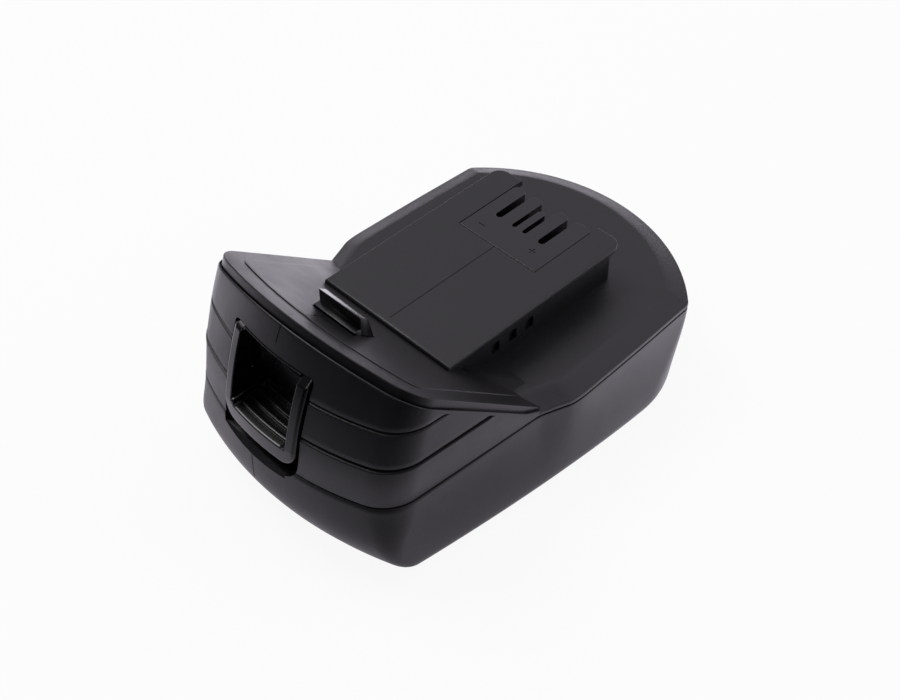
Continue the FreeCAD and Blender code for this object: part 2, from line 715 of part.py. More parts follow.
def screw_bores():
    """Blind bores for every screw in the upper housing."""
    small_reach = d.small_screw_long - d.small_head_tall + d.tip_gap
    case_tip = d.case_shelf_z + d.case_screw_long - d.case_head_tall + d.tip_gap
    bores = [(d.case_screw, x, y, case_tip) for x, y in case_screw_places()]
    bores += [(d.small_screw, x, y, d.bracket_z + small_reach) for x, y in bracket_screw_places()]
    bores += [(d.small_screw, x, y, d.board_z + small_reach) for x, y in board_screw_places()]
    return [post(dia / 2 + d.screw_gap, x, y, 0, tip) for dia, x, y, tip in bores]


def upper_hollow():
    """The space inside the upper housing, without its bosses."""
    wall_x = d.rail_half - d.rail_overhang
    top = d.floor_z - d.wall
    low = loft([rim_outline(z, 2 * d.wall) for z in (d.seam_z - d.wall, top)])
    front = solid_box(-FAR, FAR, -FAR, d.deck_front_y + d.wall, 0, FAR)
    under_hood = hood_solid(d.wall, d.wall).common(front)
    under_deck = solid_box(-wall_x + d.wall, wall_x - d.wall, d.deck_front_y - d.wall,
                           d.deck_back_y - d.wall, d.seam_z - d.wall, d.deck_z - d.wall)
    under_deck = under_deck.cut(above_hood(d.wall, d.deck_front_y + d.wall))
    hollow = low.fuse([under_hood, under_deck])
    return hollow.cut([post(radius, x, y, low, FAR) for radius, x, y, low in upper_bosses()])


def upper_housing():
    """Hood, valley, rails and deck in one moulding, with bosses that reach down."""
    rim = loft([rim_outline(z, 0) for z in (d.seam_z, d.rim_z)])
    band = loft([rim_outline(d.rim_z, 0), rim_outline(d.floor_z, d.band_width)])
    walls = deck_solid(d.rail_half - d.rail_overhang, d.rim_z, d.deck_z)
    flange = deck_solid(d.rail_half, d.deck_z - d.rail_flange, d.deck_z)
    shape = rim.fuse([band, hood_solid(0, 0), hood_plate(), walls, flange])
    shape = shape.cut([groove(d.groove_low_z), groove(d.groove_high_z)])
    shape = shape.cut([upper_hollow(), solid_box(-FAR, FAR, -FAR, FAR, 0, d.seam_z)])
    reaches = [post(radius, x, y, low, d.seam_z + d.wall / 2)
               for radius, x, y, low in upper_bosses() if low < d.seam_z]
    shape = shape.fuse(reaches)
    gap = d.hook_gap
    hook_hole = solid_box(d.hook_x - d.hook_half - gap, d.hook_x + d.hook_half + gap,
                          d.hook_front_y - 3 * gap, d.hook_front_y + d.hook_thick + gap,
                          d.arm_z, FAR)
    cuts = rail_notches() + screw_bores() + [terminal_window(), button_opening(), hook_hole]
    return shape.cut(cuts)


# Terminals
def slots():
    """Name, centre and width of each terminal slot, as names in the sheet."""
    return [
        ("negative", "minus_x", "power_slot"),
        ("data_one", "data_one_x", "signal_slot"),
        ("data_two", "data_two_x", "signal_slot"),
        ("positive", "plus_x", "power_slot"),
    ]


def terminal_block():
    """The block with its slots, each over a pocket for a contact clip."""
    board_top = d.board_z + d.board_thick
    top = d.deck_z - d.block_drop
    body = solid_box(-d.block_half, d.block_half, d.block_front_y, d.block_back_y, board_top, top)
    for name, place, wide in slots():
        x, half = worked_out(place), worked_out(wide) / 2
        front = d.slot_front_y + half
        cut = solid_box(x - half, x + half, front, FAR, d.slot_floor_z, FAR)
        cut = cut.fuse(post(half, x, front, d.slot_floor_z, FAR))
        pocket = half + d.leaf + d.fit_gap
        y0 = d.slot_front_y + d.clip_inset
        room = solid_box(x - pocket, x + pocket, y0 - d.fit_gap, y0 + d.clip_long + d.fit_gap,
                         board_top - d.wall, top - d.wall)
        body = body.cut([cut, room])
    return body


def terminal_clip(label, x, wide):
    """A contact clip: a foot on the board and two leaves, one each side of the slot."""
    body = doc.addObject("PartDesign::Body", label)
    low = "board_z + board_thick"
    foot = f"{low} + clip_foot"
    top = "deck_z - block_drop - wall - fit_gap"
    outer = [f"{x} - {wide} / 2 - leaf", f"{x} + {wide} / 2 + leaf"]
    inner = [f"{x} - {wide} / 2", f"{x} + {wide} / 2"]
    corners = [(outer[0], low), (outer[1], low), (outer[1], top), (inner[1], top),
               (inner[1], foot), (inner[0], foot), (inner[0], top), (outer[0], top)]
    end = "slot_front_y + clip_inset + clip_long"
    padded(body, f"{label}_pad", "XZ_Plane", corners, f"-({end})", "clip_long")
    return keep(body, label)


# Release latch
def shelf_slope():
    """Front edge of the scoop's shelf and its rise per mm."""
    front = face_y(d.button_low_z + d.shelf_low) + d.shelf_lip
    return front, (d.shelf_high - d.shelf_low) / (d.scoop_deep_y - front)


def scoop():
    """The finger scoop as a solid, rounded where its faces meet at the back."""
    inner = d.button_half - d.button_rim
    low = d.button_low_z
    front, rise = shelf_slope()
    tool = prism_x([
        (-FAR, low + d.shelf_low),
        (front, low + d.shelf_low),
        (d.scoop_deep_y, low + d.shelf_high),
        (d.scoop_deep_y, low + d.scoop_high),
        (d.scoop_deep_y - d.scoop_lean, low + d.scoop_lean_high),
        (face_y(d.button_top_z), d.button_top_z),
        (-FAR, d.button_top_z),
    ], d.latch_x - inner, d.latch_x + inner)
    deep = [e for e in tool.Edges if abs(e.tangentAt(0).x) > 0.9
            and e.BoundBox.YMin > d.scoop_deep_y - d.scoop_lean / 4]
    return tool.makeFillet(d.scoop_round, deep)


def grip_ribs():
    """Curved ribs across the sloping shelf of the scoop."""
    front, rise = shelf_slope()
    inner = d.button_half - d.button_rim
    centre = face_y(d.button_low_z + d.shelf_low) + d.bow_radius
    ribs = []
    for step in range(int(d.rib_count)):
        y = front + d.rib_first + step * d.rib_pitch
        z = d.button_low_z + d.shelf_low + rise * (y - front)
        radius = centre - y
        deep = d.shelf_low / 2
        foot = Vector(0, centre, z - deep)
        ring = Part.makeCylinder(radius, deep + d.rib_tall, foot)
        ring = ring.cut(Part.makeCylinder(radius - d.rib_wide, deep + d.rib_tall, foot))
        strip = solid_box(d.latch_x - inner - d.rib_wide, d.latch_x + inner + d.rib_wide,
                          -FAR, d.button_back_y, 0, FAR)
        ribs.append(ring.common(strip))
    return ribs


def hook():
    front = d.hook_front_y
    back = front + d.hook_thick
    edge = front + d.hook_bevel
    return prism_x([
        (front, d.arm_z),
        (front, hood_plane_z(front) + d.hook_tall - d.hook_bevel),
        (edge, hood_plane_z(edge) + d.hook_tall),
        (back, hood_plane_z(back) + d.hook_tall),
        (back, d.arm_z),
    ], d.hook_x - d.hook_half, d.hook_x + d.hook_half)


def release_latch():
    """Button, skirt, arm and hook in one moulding, with two pegs for the springs."""
    half = d.button_half
    x0, x1 = d.latch_x - half, d.latch_x + half
    top = d.button_top_z
    levels = steps(d.button_low_z - d.wall, top + d.wall, 7)
    skin = loft([hood_wire(z, 0) for z in levels])
    face = solid_box(x0, x1, -FAR, d.button_back_y, d.button_low_z, top)
    corners = [e for e in face.Edges
               if abs(e.tangentAt(0).y) > 0.9 and e.BoundBox.ZMax < top - d.wall]
    face = face.makeFillet(d.button_corner, corners).common(skin)
    skirt_top = top + d.latch_travel + d.skirt_lap
    skirt_front = face_y(skirt_top) + d.wall + d.button_gap
    skirt = solid_box(x0 + d.skirt_inset, x1 - d.skirt_inset, skirt_front, d.button_back_y,
                      d.button_low_z - d.latch_travel - d.skirt_lap, skirt_top)
    behind = [hood_wire(z, d.wall + d.button_gap) for z in steps(d.nose_round, skirt_top + d.wall, 7)]
    skirt = skirt.common(loft(behind))
    reach = d.spring_apart / 2 + d.spring_out / 2 + d.arm_margin
    arm = solid_box(d.latch_x - reach, d.latch_x + reach, d.button_back_y - d.skirt_inset,
                    d.hook_front_y + d.hook_thick, d.arm_z, d.arm_z + d.arm_thick)
    pegs = [post(d.peg_dia / 2, x, d.spring_y, d.arm_z - d.peg_tall, d.arm_z)
            for x in spring_places()]
    body = face.fuse([skirt]).cut(scoop())
    return body.fuse(grip_ribs() + [arm, hook()] + pegs).removeSplitter()


def latch_spring(x):
    """A coil spring between the bracket and the arm, standing over both pegs."""
    low = d.bracket_z + d.bracket_thick
    wire = d.spring_wire / 2
    radius = d.spring_out / 2 - wire
    tall = d.arm_z - low - 2 * wire - 2 * d.spring_gap
    foot = Vector(x, d.spring_y, low + wire + d.spring_gap)
    helix = Part.makeHelix(tall / d.spring_turns, tall, radius)
    helix.translate(foot)
    profile = Part.makeCircle(wire, foot + Vector(radius, 0, 0), Vector(0, 1, 0))
    return Part.Wire(helix).makePipeShell([Part.Wire(profile)], True, True)


def latch_bracket(label):
    """Plate under the arm that carries both springs on low pegs."""
    body = doc.addObject("PartDesign::Body", label)
    reach = "bracket_screw_x + small_head / 2 + bracket_margin"
    corners = rectangle(f"-({reach})", reach, "bracket_front_y", "bracket_back_y")
    padded(body, "bracket_plate", "XY_Plane", corners, "bracket_z", "bracket_thick")
    pegs = sketch_on(body, "bracket_peg_circles", "XY_Plane")
    for side in ("-", "+"):
        draw_circle(pegs, "peg_dia / 2", f"latch_x {side} spring_apart / 2", "spring_y")
    bind(pegs, AttachmentOffset__Base__z="bracket_z + bracket_thick")
    pad = body.newObject("PartDesign::Pad", "bracket_pegs")
    pad.Profile = pegs
    bind(pad, Length="peg_tall")
    hole = "small_screw / 2 + screw_gap"
    drilled(body, "bracket_holes", [(hole, "-bracket_screw_x", "spring_y"),
                                    (hole, "bracket_screw_x", "spring_y")])
    return keep(body, label)


# Cells and what joins them
def cell(label, index, turn):
    """One round cell with its sleeve and raised positive end, turned end for end or not."""
    body = doc.addObject("PartDesign::Body", label)
    sketch = sketch_on(body, f"{label}_section", "XZ_Plane")
    end, radius = f"{turn} * cell_long / 2", "cell_dia / 2"
    shoulder = f"{turn} * (cell_long / 2 - cell_button_tall)"
    draw_polygon(sketch, [
        (f"-({end})", "0"),
        (f"-({end})", f"{radius} - cell_bevel"),
        (f"-({turn}) * (cell_long / 2 - cell_bevel)", radius),
        (f"{turn} * (cell_long / 2 - cell_button_tall - cell_bevel)", radius),
        (shoulder, f"{radius} - cell_bevel"),
        (shoulder, "cell_button / 2"),
        (end, "cell_button / 2"),
        (end, "0"),
    ])
    bind(sketch, AttachmentOffset__Base__y="cell_z",
         AttachmentOffset__Base__z=f"-(cell_y + ({index} - (cell_count - 1) / 2) * cell_pitch)")
    turned = body.newObject("PartDesign::Revolution", f"{label}_turned")
    turned.Profile = sketch
    turned.ReferenceAxis = (sketch, ["H_Axis"])
    return keep(body, label)


def insulator_ring(y, turn):
    """Washer round the positive end of a cell."""
    start = Vector(d.cell_long / 2 - d.cell_button_tall, y, d.cell_z)
    along = Vector(1, 0, 0)
    ring = Part.makeCylinder(d.cell_dia / 2 - 2 * d.cell_bevel, d.ring_thick, start, along)
    ring = ring.cut(Part.makeCylinder(d.cell_button / 2 + d.cell_gap, d.ring_thick, start, along))
    return ring.mirror(Vector(0, 0, 0), along) if turn < 0 else ring


def carrier(side):
    """Upright plate with a round seat for each cell, trimmed to the shell's inner rounding."""
    x0 = side * d.carrier_x - d.carrier_thick / 2
    x1 = x0 + d.carrier_thick
    places = cell_places()
    margin = d.cell_dia / 2 + d.carrier_end
    body = solid_box(x0, x1, places[0] - margin, places[-1] + margin, d.wall, d.carrier_top_z)
    seats = [Part.makeCylinder(d.cell_dia / 2 + d.cell_gap, d.carrier_thick, Vector(x0, y, d.cell_z),
                               Vector(1, 0, 0)) for y in places]
    slits = []
    for y0, y1 in zip(places, places[1:]):
        middle = (y0 + y1) / 2
        slits.append(solid_box(x0, x1, middle - d.carrier_slit / 2, middle + d.carrier_slit / 2,
                               d.carrier_top_z - d.carrier_slit_deep, FAR))
    return body.cut(seats + slits).common(shell_inside(d.wall + d.fit_gap))


def strip_link(label, side, first):
    """Flat strip over the ends of two neighbouring cells."""
    start = f"cell_y + ({first} - (cell_count - 1) / 2) * cell_pitch - strip_wide / 2"
    x = "cell_long / 2" if side > 0 else "-cell_long / 2 - strip"
    box = bound_box(label, "strip", "cell_pitch + strip_wide", "strip_wide", x, start,
                    "cell_z - strip_wide / 2")
    return keep(box, label)


def end_strip(side, index):
    """Strip on the first or last cell that rises and folds in under the circuit board."""
    y = cell_places()[index]
    half = d.strip_wide / 2
    x = side * d.cell_long / 2
    outer = x + side * d.strip
    inner = side * (d.board_half - d.tab_lap)
    low, top = d.board_z - d.strip, d.board_z
    up = solid_box(*sorted((x, outer)), y - half, y + half, d.cell_z - half, top)
    fold = solid_box(*sorted((inner, outer)), y - half, y + half, low, top)
    toward = math.copysign(1.0, -y)
    edge = d.board_back_y if y > 0 else d.board_front_y
    y0, y1 = sorted((y - toward * half, edge + toward * d.tab_lap))
    run = solid_box(*sorted((inner, side * d.board_half)), y0, y1, low, top)
    return up.fuse([fold, run]).removeSplitter()


def insulating_card(label):
    """Card between cells and board, with a hole for the thermistor."""
    body = doc.addObject("PartDesign::Body", label)
    corners = rectangle("-board_half", "board_half", "board_front_y", "board_back_y")
    padded(body, "card_sheet", "XY_Plane", corners, "carrier_top_z", "card_thick")
    drilled(body, "card_hole", [("sensor_dia / 2 + fit_gap", "sensor_x", "cell_y")])
    return keep(body, label)


def circuit_board(label):
    body = doc.addObject("PartDesign::Body", label)
    corners = rectangle("-board_half", "board_half", "board_front_y", "board_back_y")
    padded(body, "board_sheet", "XY_Plane", corners, "board_z", "board_thick")
    x = "(rail_half - rail_overhang - wall / 2)"
    rows = ("board_front_y + board_screw_in", "board_back_y - board_screw_back")
    hole = "small_screw / 2 + screw_gap"
    drilled(body, "board_holes", [(hole, f"{sign}{x}", y) for sign in ("-", "") for y in rows])
    return keep(body, label)


def transistors():
    """A row of square power transistors across the front of the board."""
    side, base = d.transistor_side, d.board_z + d.board_thick
    reach = (d.transistor_count - 1) / 2
    chips = []
    for index in range(int(d.transistor_count)):
        x = (index - reach) * d.transistor_pitch
        chips.append(solid_box(x - side / 2, x + side / 2, d.transistor_y - side / 2,
                               d.transistor_y + side / 2, base, base + d.transistor_thick))
    return Part.makeCompound(chips)


def screws(places, dia, head, head_tall, long, head_z):
    """Round-headed cross screws pointing up, their heads under a face at head_z."""
    low = head_z - head_tall
    solids = []
    for x, y in places:
        cap = post(head / 2, x, y, low, head_z)
        under = [e for e in cap.Edges if e.BoundBox.ZMax < (low + head_z) / 2]
        cap = cap.makeFillet(head_tall * d.head_round, under)
        drive = solid_box(x - head * d.drive_half, x + head * d.drive_half, y - d.drive_wide / 2,
                          y + d.drive_wide / 2, low - d.drive_deep, low + d.drive_deep)
        cross = drive.copy()
        cross.rotate(Vector(x, y, 0), Vector(0, 0, 1), 90)
        shank = post(dia / 2, x, y, head_z, head_z + long - head_tall)
        solids.append(shank.fuse(cap).cut([drive, cross]).removeSplitter())
    return Part.makeCompound(solids)


def small_screws(places, head_z):
    return screws(places, d.small_screw, d.small_head, d.small_head_tall, d.small_screw_long, head_z)


# Casing and latch
feature("lower_shell", lower_shell())
feature("upper_housing", upper_housing())
feature("terminal_block", terminal_block())
feature("release_latch", release_latch())
latch_bracket("latch_bracket")
for name, x in zip(("left", "right"), spring_places()):
    feature(f"latch_spring_{name}", latch_spring(x))

# Cells, every second one turned end for end
turns = [1 if index % 2 == 0 else -1 for index in range(int(d.cell_count))]
for index, turn in enumerate(turns):
    cell(f"cell_{index + 1}", index, turn)
rings = [insulator_ring(y, turn) for y, turn in zip(cell_places(), turns)]
feature("cell_insulators", Part.makeCompound(rings))
feature("cell_carrier_left", carrier(-1))
feature("cell_carrier_right", carrier(1))
for index, turn in enumerate(turns[:-1]):
    strip_link(f"strip_link_{index + 1}_{index + 2}", turn, index)
feature("strip_negative", end_strip(-turns[0], 0))
feature("strip_positive", end_strip(turns[-1], len(turns) - 1))
keep(bound_box("foam_pad", "2 * pad_half", "(cell_count - 1) * cell_pitch",
               "carrier_top_z - cell_z - cell_dia / 2 - pad_gap", "-pad_half",
               "cell_y - (cell_count - 1) / 2 * cell_pitch", "cell_z + cell_dia / 2 + pad_gap"),
     "foam_pad")
insulating_card("insulating_card")
keep(bound_rod("thermistor", "sensor_dia / 2", "board_z - cell_z - cell_dia / 2 - pad_gap",
               "sensor_x", "cell_y", "cell_z + cell_dia / 2 + pad_gap"), "thermistor")

# Circuit board and what stands on it
circuit_board("circuit_board")
keep(bound_box("board_controller", "controller_side", "controller_side", "controller_thick",
               "-controller_side / 2", "controller_y - controller_side / 2",
               "board_z + board_thick"), "board_controller")
feature("board_transistors", transistors())
keep(bound_rod("board_capacitor", "capacitor_dia / 2", "capacitor_tall", "capacitor_x",
               "capacitor_y", "board_z + board_thick"), "board_capacitor")
for name, x, wide in slots():
    terminal_clip(f"terminal_{name}", x, wide)

# Fasteners
feature("case_screws", screws(case_screw_places(), d.case_screw, d.case_head, d.case_head_tall,
                              d.case_screw_long, d.case_shelf_z))
feature("bracket_screws", small_screws(bracket_screw_places(), d.bracket_z))
feature("board_screws", small_screws(board_screw_places(), d.board_z))

doc.recompute()
for obj in doc.Objects:
    if {"Invalid", "Error"} & set(obj.State):
        raise RuntimeError(f"{obj.Label} is {obj.State}")
for obj in parts:
    if obj.Shape.isNull() or not obj.Shape.isValid() or not obj.Shape.Solids:
        raise RuntimeError(f"{obj.Label} has no valid solid")

os.makedirs("parts", exist_ok=True)
for obj in parts:
    obj.Shape.exportStep(f"parts/{obj.Label}.step")
    box = obj.Shape.BoundBox
    print(f"{obj.Label}: {len(obj.Shape.Solids)} solids, {obj.Shape.Volume / 1000:.2f} cm3, "
          f"z {box.ZMin:.2f} to {box.ZMax:.2f}")
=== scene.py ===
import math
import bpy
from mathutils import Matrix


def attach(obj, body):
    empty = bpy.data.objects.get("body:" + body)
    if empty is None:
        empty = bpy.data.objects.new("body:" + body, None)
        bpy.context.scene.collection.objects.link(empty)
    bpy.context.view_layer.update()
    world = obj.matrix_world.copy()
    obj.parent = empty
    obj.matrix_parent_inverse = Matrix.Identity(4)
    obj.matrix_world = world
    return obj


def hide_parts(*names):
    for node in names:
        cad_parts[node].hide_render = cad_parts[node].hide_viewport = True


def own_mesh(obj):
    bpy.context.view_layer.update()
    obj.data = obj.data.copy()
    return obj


bl_info = {
    "name": "Slide-on tool battery",
    "version": (1, 0, 0),
    "blender": (4, 5, 0),
    "location": "3D View > Sidebar > Battery",
    "description": "Builds the casing, latch and finishes of a slide-on tool battery",
    "category": "Object",
}

import bmesh
import bpy
import numpy as np
from mathutils import Matrix, Vector

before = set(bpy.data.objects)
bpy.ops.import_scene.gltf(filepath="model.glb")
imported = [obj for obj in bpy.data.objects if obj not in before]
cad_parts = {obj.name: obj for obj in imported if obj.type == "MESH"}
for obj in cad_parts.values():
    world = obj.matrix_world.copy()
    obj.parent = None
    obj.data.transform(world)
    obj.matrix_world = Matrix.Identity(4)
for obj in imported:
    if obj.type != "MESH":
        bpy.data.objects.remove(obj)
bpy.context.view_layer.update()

MM = 0.001

# Casing, in millimetres: X runs to the right, Y to the back and Z up
FRONT, BACK, WALL = -63.07, 63.07, 2.2
SEAM, RIM, FLOOR, DECK = 26.0, 27.3, 29.8, 41.5
FACE_R, PLUMB = 100.0, 15.6  # the face leans back on this radius above this height
BOW_R, BOW_R_LOW, BACK_R = 76.0, 100.0, 52.0
FRONT_CORNER, FRONT_CORNER_LOW = 11.5, 3.0
BACK_CORNER, BACK_CORNER_LOW, BACK_LEAN = 3.0, 24.5, 3.2
NOSE_ROUND, SIDE_ROUND, BACK_ROUND = 15.7, 5.0, 7.1  # radii into the underside
RIM_Y = (-63.0, -30.0, -12.0, -8.6, -5.3, -2.4, 0.2, 3.4, 10.5, 26.0, 38.6, 62.0)
RIM_X = (34.4, 36.3, 37.3, 37.6, 38.6, 39.6, 40.45, 40.7, 40.5, 39.95, 39.3, 38.2)
BELLY_X, BELLY_Y, BELLY_Z = 41.98, 26.0, 3.6  # where the shell is widest
BOW_IN, BOW_POWER, REAR_IN = 0.0031, 1.75, 0.0016  # how it narrows ahead of and behind that
TIP_Y, TIP_Z, RISE = -8.33, 28.24, 0.79  # low end of the hood's plane, and its slope
NOSE_HALF, FLARE = 34.0, 0.065  # the hood's half width in front, and what it gains per mm
HOOD_LOW, HOOD_HIGH, MIDWAY, FADE_Z = 20.0, 80.0, 40, 50  # heights of the hood's outlines
LIP, LIP_R, LIP_STEP, LIP_TALL = 0.65, 0.20, 0.28, 2.2  # overhang, edge, step below, height
GROOVES = ((37.38, 0.22), (47.56, 0.0))  # height, and how far the face below stands out
PLATE_RISE = 0.285
DECK_HALF, DECK_FRONT, DECK_BACK = 21.54, -23.5, 38.6
WELL_SIDES, WELL_FRONT = (-13.15, 13.28), 14.66
NOTCH_X, NOTCH_Z, NOTCH_HALF = (18.94, 21.0), (33.2, 36.4), 1.35
NOTCH_FIRST, NOTCH_PITCH, NOTCH_COUNT = -6.0, 6.0, 3
DECK_LINE, SHELL_LINE = (-0.55, -0.37), (-5.62, -5.34)
FACE_LINE, TOP_LINE, LINE_DEEP = (-2.14, -1.86), (-2.06, -1.90), 0.16
SCREW_WELLS, WELL_R = ((-24.0, -52.4), (24.0, -52.4), (-16.0, 50.2), (16.0, 50.2)), 2.8
AHEAD, FAR_AHEAD, HIGH = -80.0, -90.0, 90.0  # cutters start and end well outside

# Release latch, in millimetres
LATCH_X, HALF, LOW_Z, TOP_Z = -3.0, 13.4, 27.0, 52.8
TALL = TOP_Z - LOW_Z
SIDE_GAP, TOP_GAP, HOLE_DROP = 0.75, 0.35, 3.8
CORNER, HOLE_CORNER, HOLE_BACK = 4.6, 1.4, -46.8
TAPER, FRAME, PROUD = 0.9, 3.0, 0.9
SHELF, SHELF_SOFT = 5.0, 2.0
SCOOP_Z = (SHELF, 5.06, 5.3, 5.7, 6.3, 9.0, 13.0, 17.0, 21.0, 24.5, TALL)
SCOOP_DEEP = (0.0, 2.5, 8.2, 10.6, 11.2, 11.4, 10.8, 8.6, 5.4, 2.4, 0.7)
BUTTON_BACK, OUTER_R, INNER_R, BOWL_R = -49.0, 0.9, 0.3, 1.6
SKIRT_HALF, SKIRT_Y, SKIRT_Z = 12.6, (-51.2, BUTTON_BACK), (22.2, 56.4)
ARM_HALF, ARM_Y, ARM_Z = 11.8, (-50.0, -33.2), (38.35, 43.0)
RIB_HALF, RIB_WIDE, RIB_TALL, RIB_STEP_UP = 9.6, 1.25, 1.1, 0.00018
HOOK_SIDES = (-7.5, 6.5)
HOOK_HOLE = (-7.75, 6.75, -39.25, -32.75, 37.0, HIGH)

# Material numbers of the upper housing; the last is painted shade, a darker, duller copy of the
# casing plastic on the faces under the hood's front lip
GRAINED, SATIN, BORDER, PAINTED_SHADE = range(4)
# Painted shade stays only ahead of this place
PAINTED_SHADE_UNTIL = -0.046  # metres along Y


# Sizes in metres and colours that a user would change
LENGTH = {"unit": "LENGTH", "precision": 5}
COLOUR = {"subtype": "COLOR", "min": 0, "max": 1}


class BatterySizes(bpy.types.PropertyGroup):
    edge: bpy.props.FloatProperty(
        name="Edge radius", description="Radius on the casing's outer edges",
        default=0.00030, min=0.00005, **LENGTH)
    groove_wide: bpy.props.FloatProperty(
        name="Groove width", description="Width of the grooves round the hood",
        default=0.00075, **LENGTH)
    groove_deep: bpy.props.FloatProperty(
        name="Groove depth", description="Depth of the grooves round the hood",
        default=0.00060, **LENGTH)
    border: bpy.props.FloatProperty(
        name="Hood border", description="Width of the border round the raised plate",
        default=0.0049, **LENGTH)
    rib_pitch: bpy.props.FloatProperty(
        name="Rib pitch", description="Distance between the grip ribs on the button",
        default=0.00260, **LENGTH)
    rib_count: bpy.props.IntProperty(
        name="Ribs", description="Number of grip ribs on the button", default=4, min=1)


class BatteryColours(bpy.types.PropertyGroup):
    shell: bpy.props.FloatVectorProperty(
        name="Casing", description="Colour of the grained casing", **COLOUR,
        default=(0.0024, 0.0019, 0.0029))
    deck: bpy.props.FloatVectorProperty(
        name="Deck", description="Colour of the satin deck and hood plate", **COLOUR,
        default=(0.0018, 0.0014, 0.0023))
    latch: bpy.props.FloatVectorProperty(
        name="Latch", description="Colour of the release latch", **COLOUR,
        default=(0.0014, 0.0012, 0.0017))


# Node writing
def add_node(tree, kind, options, inputs):
    """Adds a node, sets its options first, then gives its sockets values or links.

    An input goes by its socket's name, with _ for a space, or by i and its number.
    """
    made = tree.nodes.new(kind)
    for key, value in (options or {}).items():
        setattr(made, key, value)
    for key, value in inputs.items():
        socket = made.inputs[int(key[1:]) if key[1:].isdigit() else key.replace("_", " ")]
        if isinstance(value, Signal):
            value = value.socket
        if isinstance(value, bpy.types.NodeSocket):
            tree.links.new(value, socket)
        else:
            socket.default_value = value
    return made


class Signal:
    """A shader socket that arithmetic can be written with."""

    def __init__(self, look, socket):
        self.look, self.socket = look, socket

    def __add__(self, other):
        return self.look.math("ADD", self, other)

    def __rsub__(self, other):
        return self.look.math("SUBTRACT", other, self)

    def __mul__(self, other):
        return self.look.math("MULTIPLY", self, other)

    __radd__ = __add__
    __rmul__ = __mul__


class Look:
    """The shader tree of a material or world, and short ways of adding nodes to it."""

    def __init__(self, owner, coordinates="Object"):
        owner.use_nodes = True
        self.owner, self.tree = owner, owner.node_tree
        self.tree.nodes.clear()
        self.place = self.node("ShaderNodeTexCoord").outputs[coordinates]

    def node(self, kind, options=None, **inputs):
        return add_node(self.tree, kind, options, inputs)

    def read(self, node, output=0):
        return Signal(self, node.outputs[output])

    def math(self, kind, left, right):
        return self.read(self.node("ShaderNodeMath", {"operation": kind}, i0=left, i1=right))

    def dot(self, direction):
        """How far the coordinates lie along a direction."""
        return self.read(self.node("ShaderNodeVectorMath", {"operation": "DOT_PRODUCT"},
                                   i0=self.place, i1=direction), "Value")

    def noise(self, scale, detail, rough, place=None):
        made = self.node("ShaderNodeTexNoise", Vector=place or self.place, Scale=scale,
                         Detail=detail, Roughness=rough)
        return self.read(made, "Fac")

    def band(self, value, low, high):
        """0 below low, 1 above high, smooth between."""
        made = self.node("ShaderNodeMapRange", {"interpolation_type": "SMOOTHSTEP"},
                         Value=value, From_Min=low, From_Max=high)
        return self.read(made, "Result")

    def tint(self, factor, first, second):
        """A colour that goes from the first to the second by a factor."""
        made = self.node("ShaderNodeMix", {"data_type": "RGBA"}, i0=factor, i6=first, i7=second)
        return made.outputs[2]

    def bump(self, height, distance):
        made = self.node("ShaderNodeBump", Height=height, Distance=distance, Strength=1.0)
        return made.outputs["Normal"]

    def mix(self, factor, first, second):
        return self.node("ShaderNodeMixShader", Fac=factor, i1=first.outputs[0],
                         i2=second.outputs[0])

    def close(self, shader, kind="ShaderNodeOutputMaterial"):
        self.tree.links.new(shader.outputs[0], self.node(kind).inputs["Surface"])

    def surface(self, **inputs):
        self.close(self.node("ShaderNodeBsdfPrincipled", **inputs))
        return self.owner


DUST = (0.35, 0.34, 0.33, 1.0)


def shade(colour, factor):
    return tuple(min(1.0, channel * factor) for channel in colour[:3]) + (1.0,)


def moulded_plastic(name, colour, rough, grain, grain_size, blotch=0.12, gloss=0.45, dust=0.5):
    """Black moulded plastic: fine grain, faint flow blotches, handling sheen, specks of dust."""
    look = Look(bpy.data.materials.new(name))
    fine = look.noise(1 / (grain_size * MM), 2.0, 0.6)
    coarse = look.noise(1 / (3.1 * grain_size * MM), 2.0, 0.5)
    flow = look.noise(38.0, 4.0, 0.6)
    cloud = look.noise(120.0, 3.0, 0.5)
    patchy = look.band(flow * 0.65 + cloud * 0.35, 0.36, 0.66)
    cells = look.node("ShaderNodeTexVoronoi", {"feature": "F1"}, Vector=look.place, Scale=155.0)
    speck = 1 - look.band(look.read(cells, "Distance"), 0.022, 0.040)
    pick = look.node("ShaderNodeTexWhiteNoise", {"noise_dimensions": "3D"},
                     Vector=cells.outputs["Position"])
    rare = look.band(look.read(pick, "Value"), 0.955, 0.965)
    dusty = speck * rare * dust
    body = look.tint(patchy, shade(colour, 1 - blotch), shade(colour, 1 + blotch))
    grained = look.tint(look.band(fine, 0.35, 0.65) * 0.30, body, shade(colour, 1.5))
    base = look.tint(dusty, grained, DUST)
    roughness = patchy * 0.07 + fine * 0.10 + (rough - 0.085) + dusty * 0.3
    height = fine * 0.7 + coarse * 0.5 + flow * 0.6
    return look.surface(Base_Color=base, Roughness=roughness, Specular_IOR_Level=gloss,
                        Normal=look.bump(height, grain * MM))


def metal(name, colour, rough, brush):
    """Worn sheet or wire metal with fine lines along one axis."""
    look = Look(bpy.data.materials.new(name))
    stretched = look.node("ShaderNodeMapping", Vector=look.place, Scale=brush)
    lines = look.noise(900.0, 3.0, 0.6, stretched.outputs["Vector"])
    smudge = look.noise(160.0, 3.0, 0.5)
    base = look.tint(look.band(smudge, 0.35, 0.65), shade(colour, 0.82), shade(colour, 1.08))
    roughness = lines * 0.22 + smudge * 0.12 + (rough - 0.15)
    return look.surface(Base_Color=base, Metallic=1.0, Roughness=roughness,
                        Normal=look.bump(lines, 0.00002))


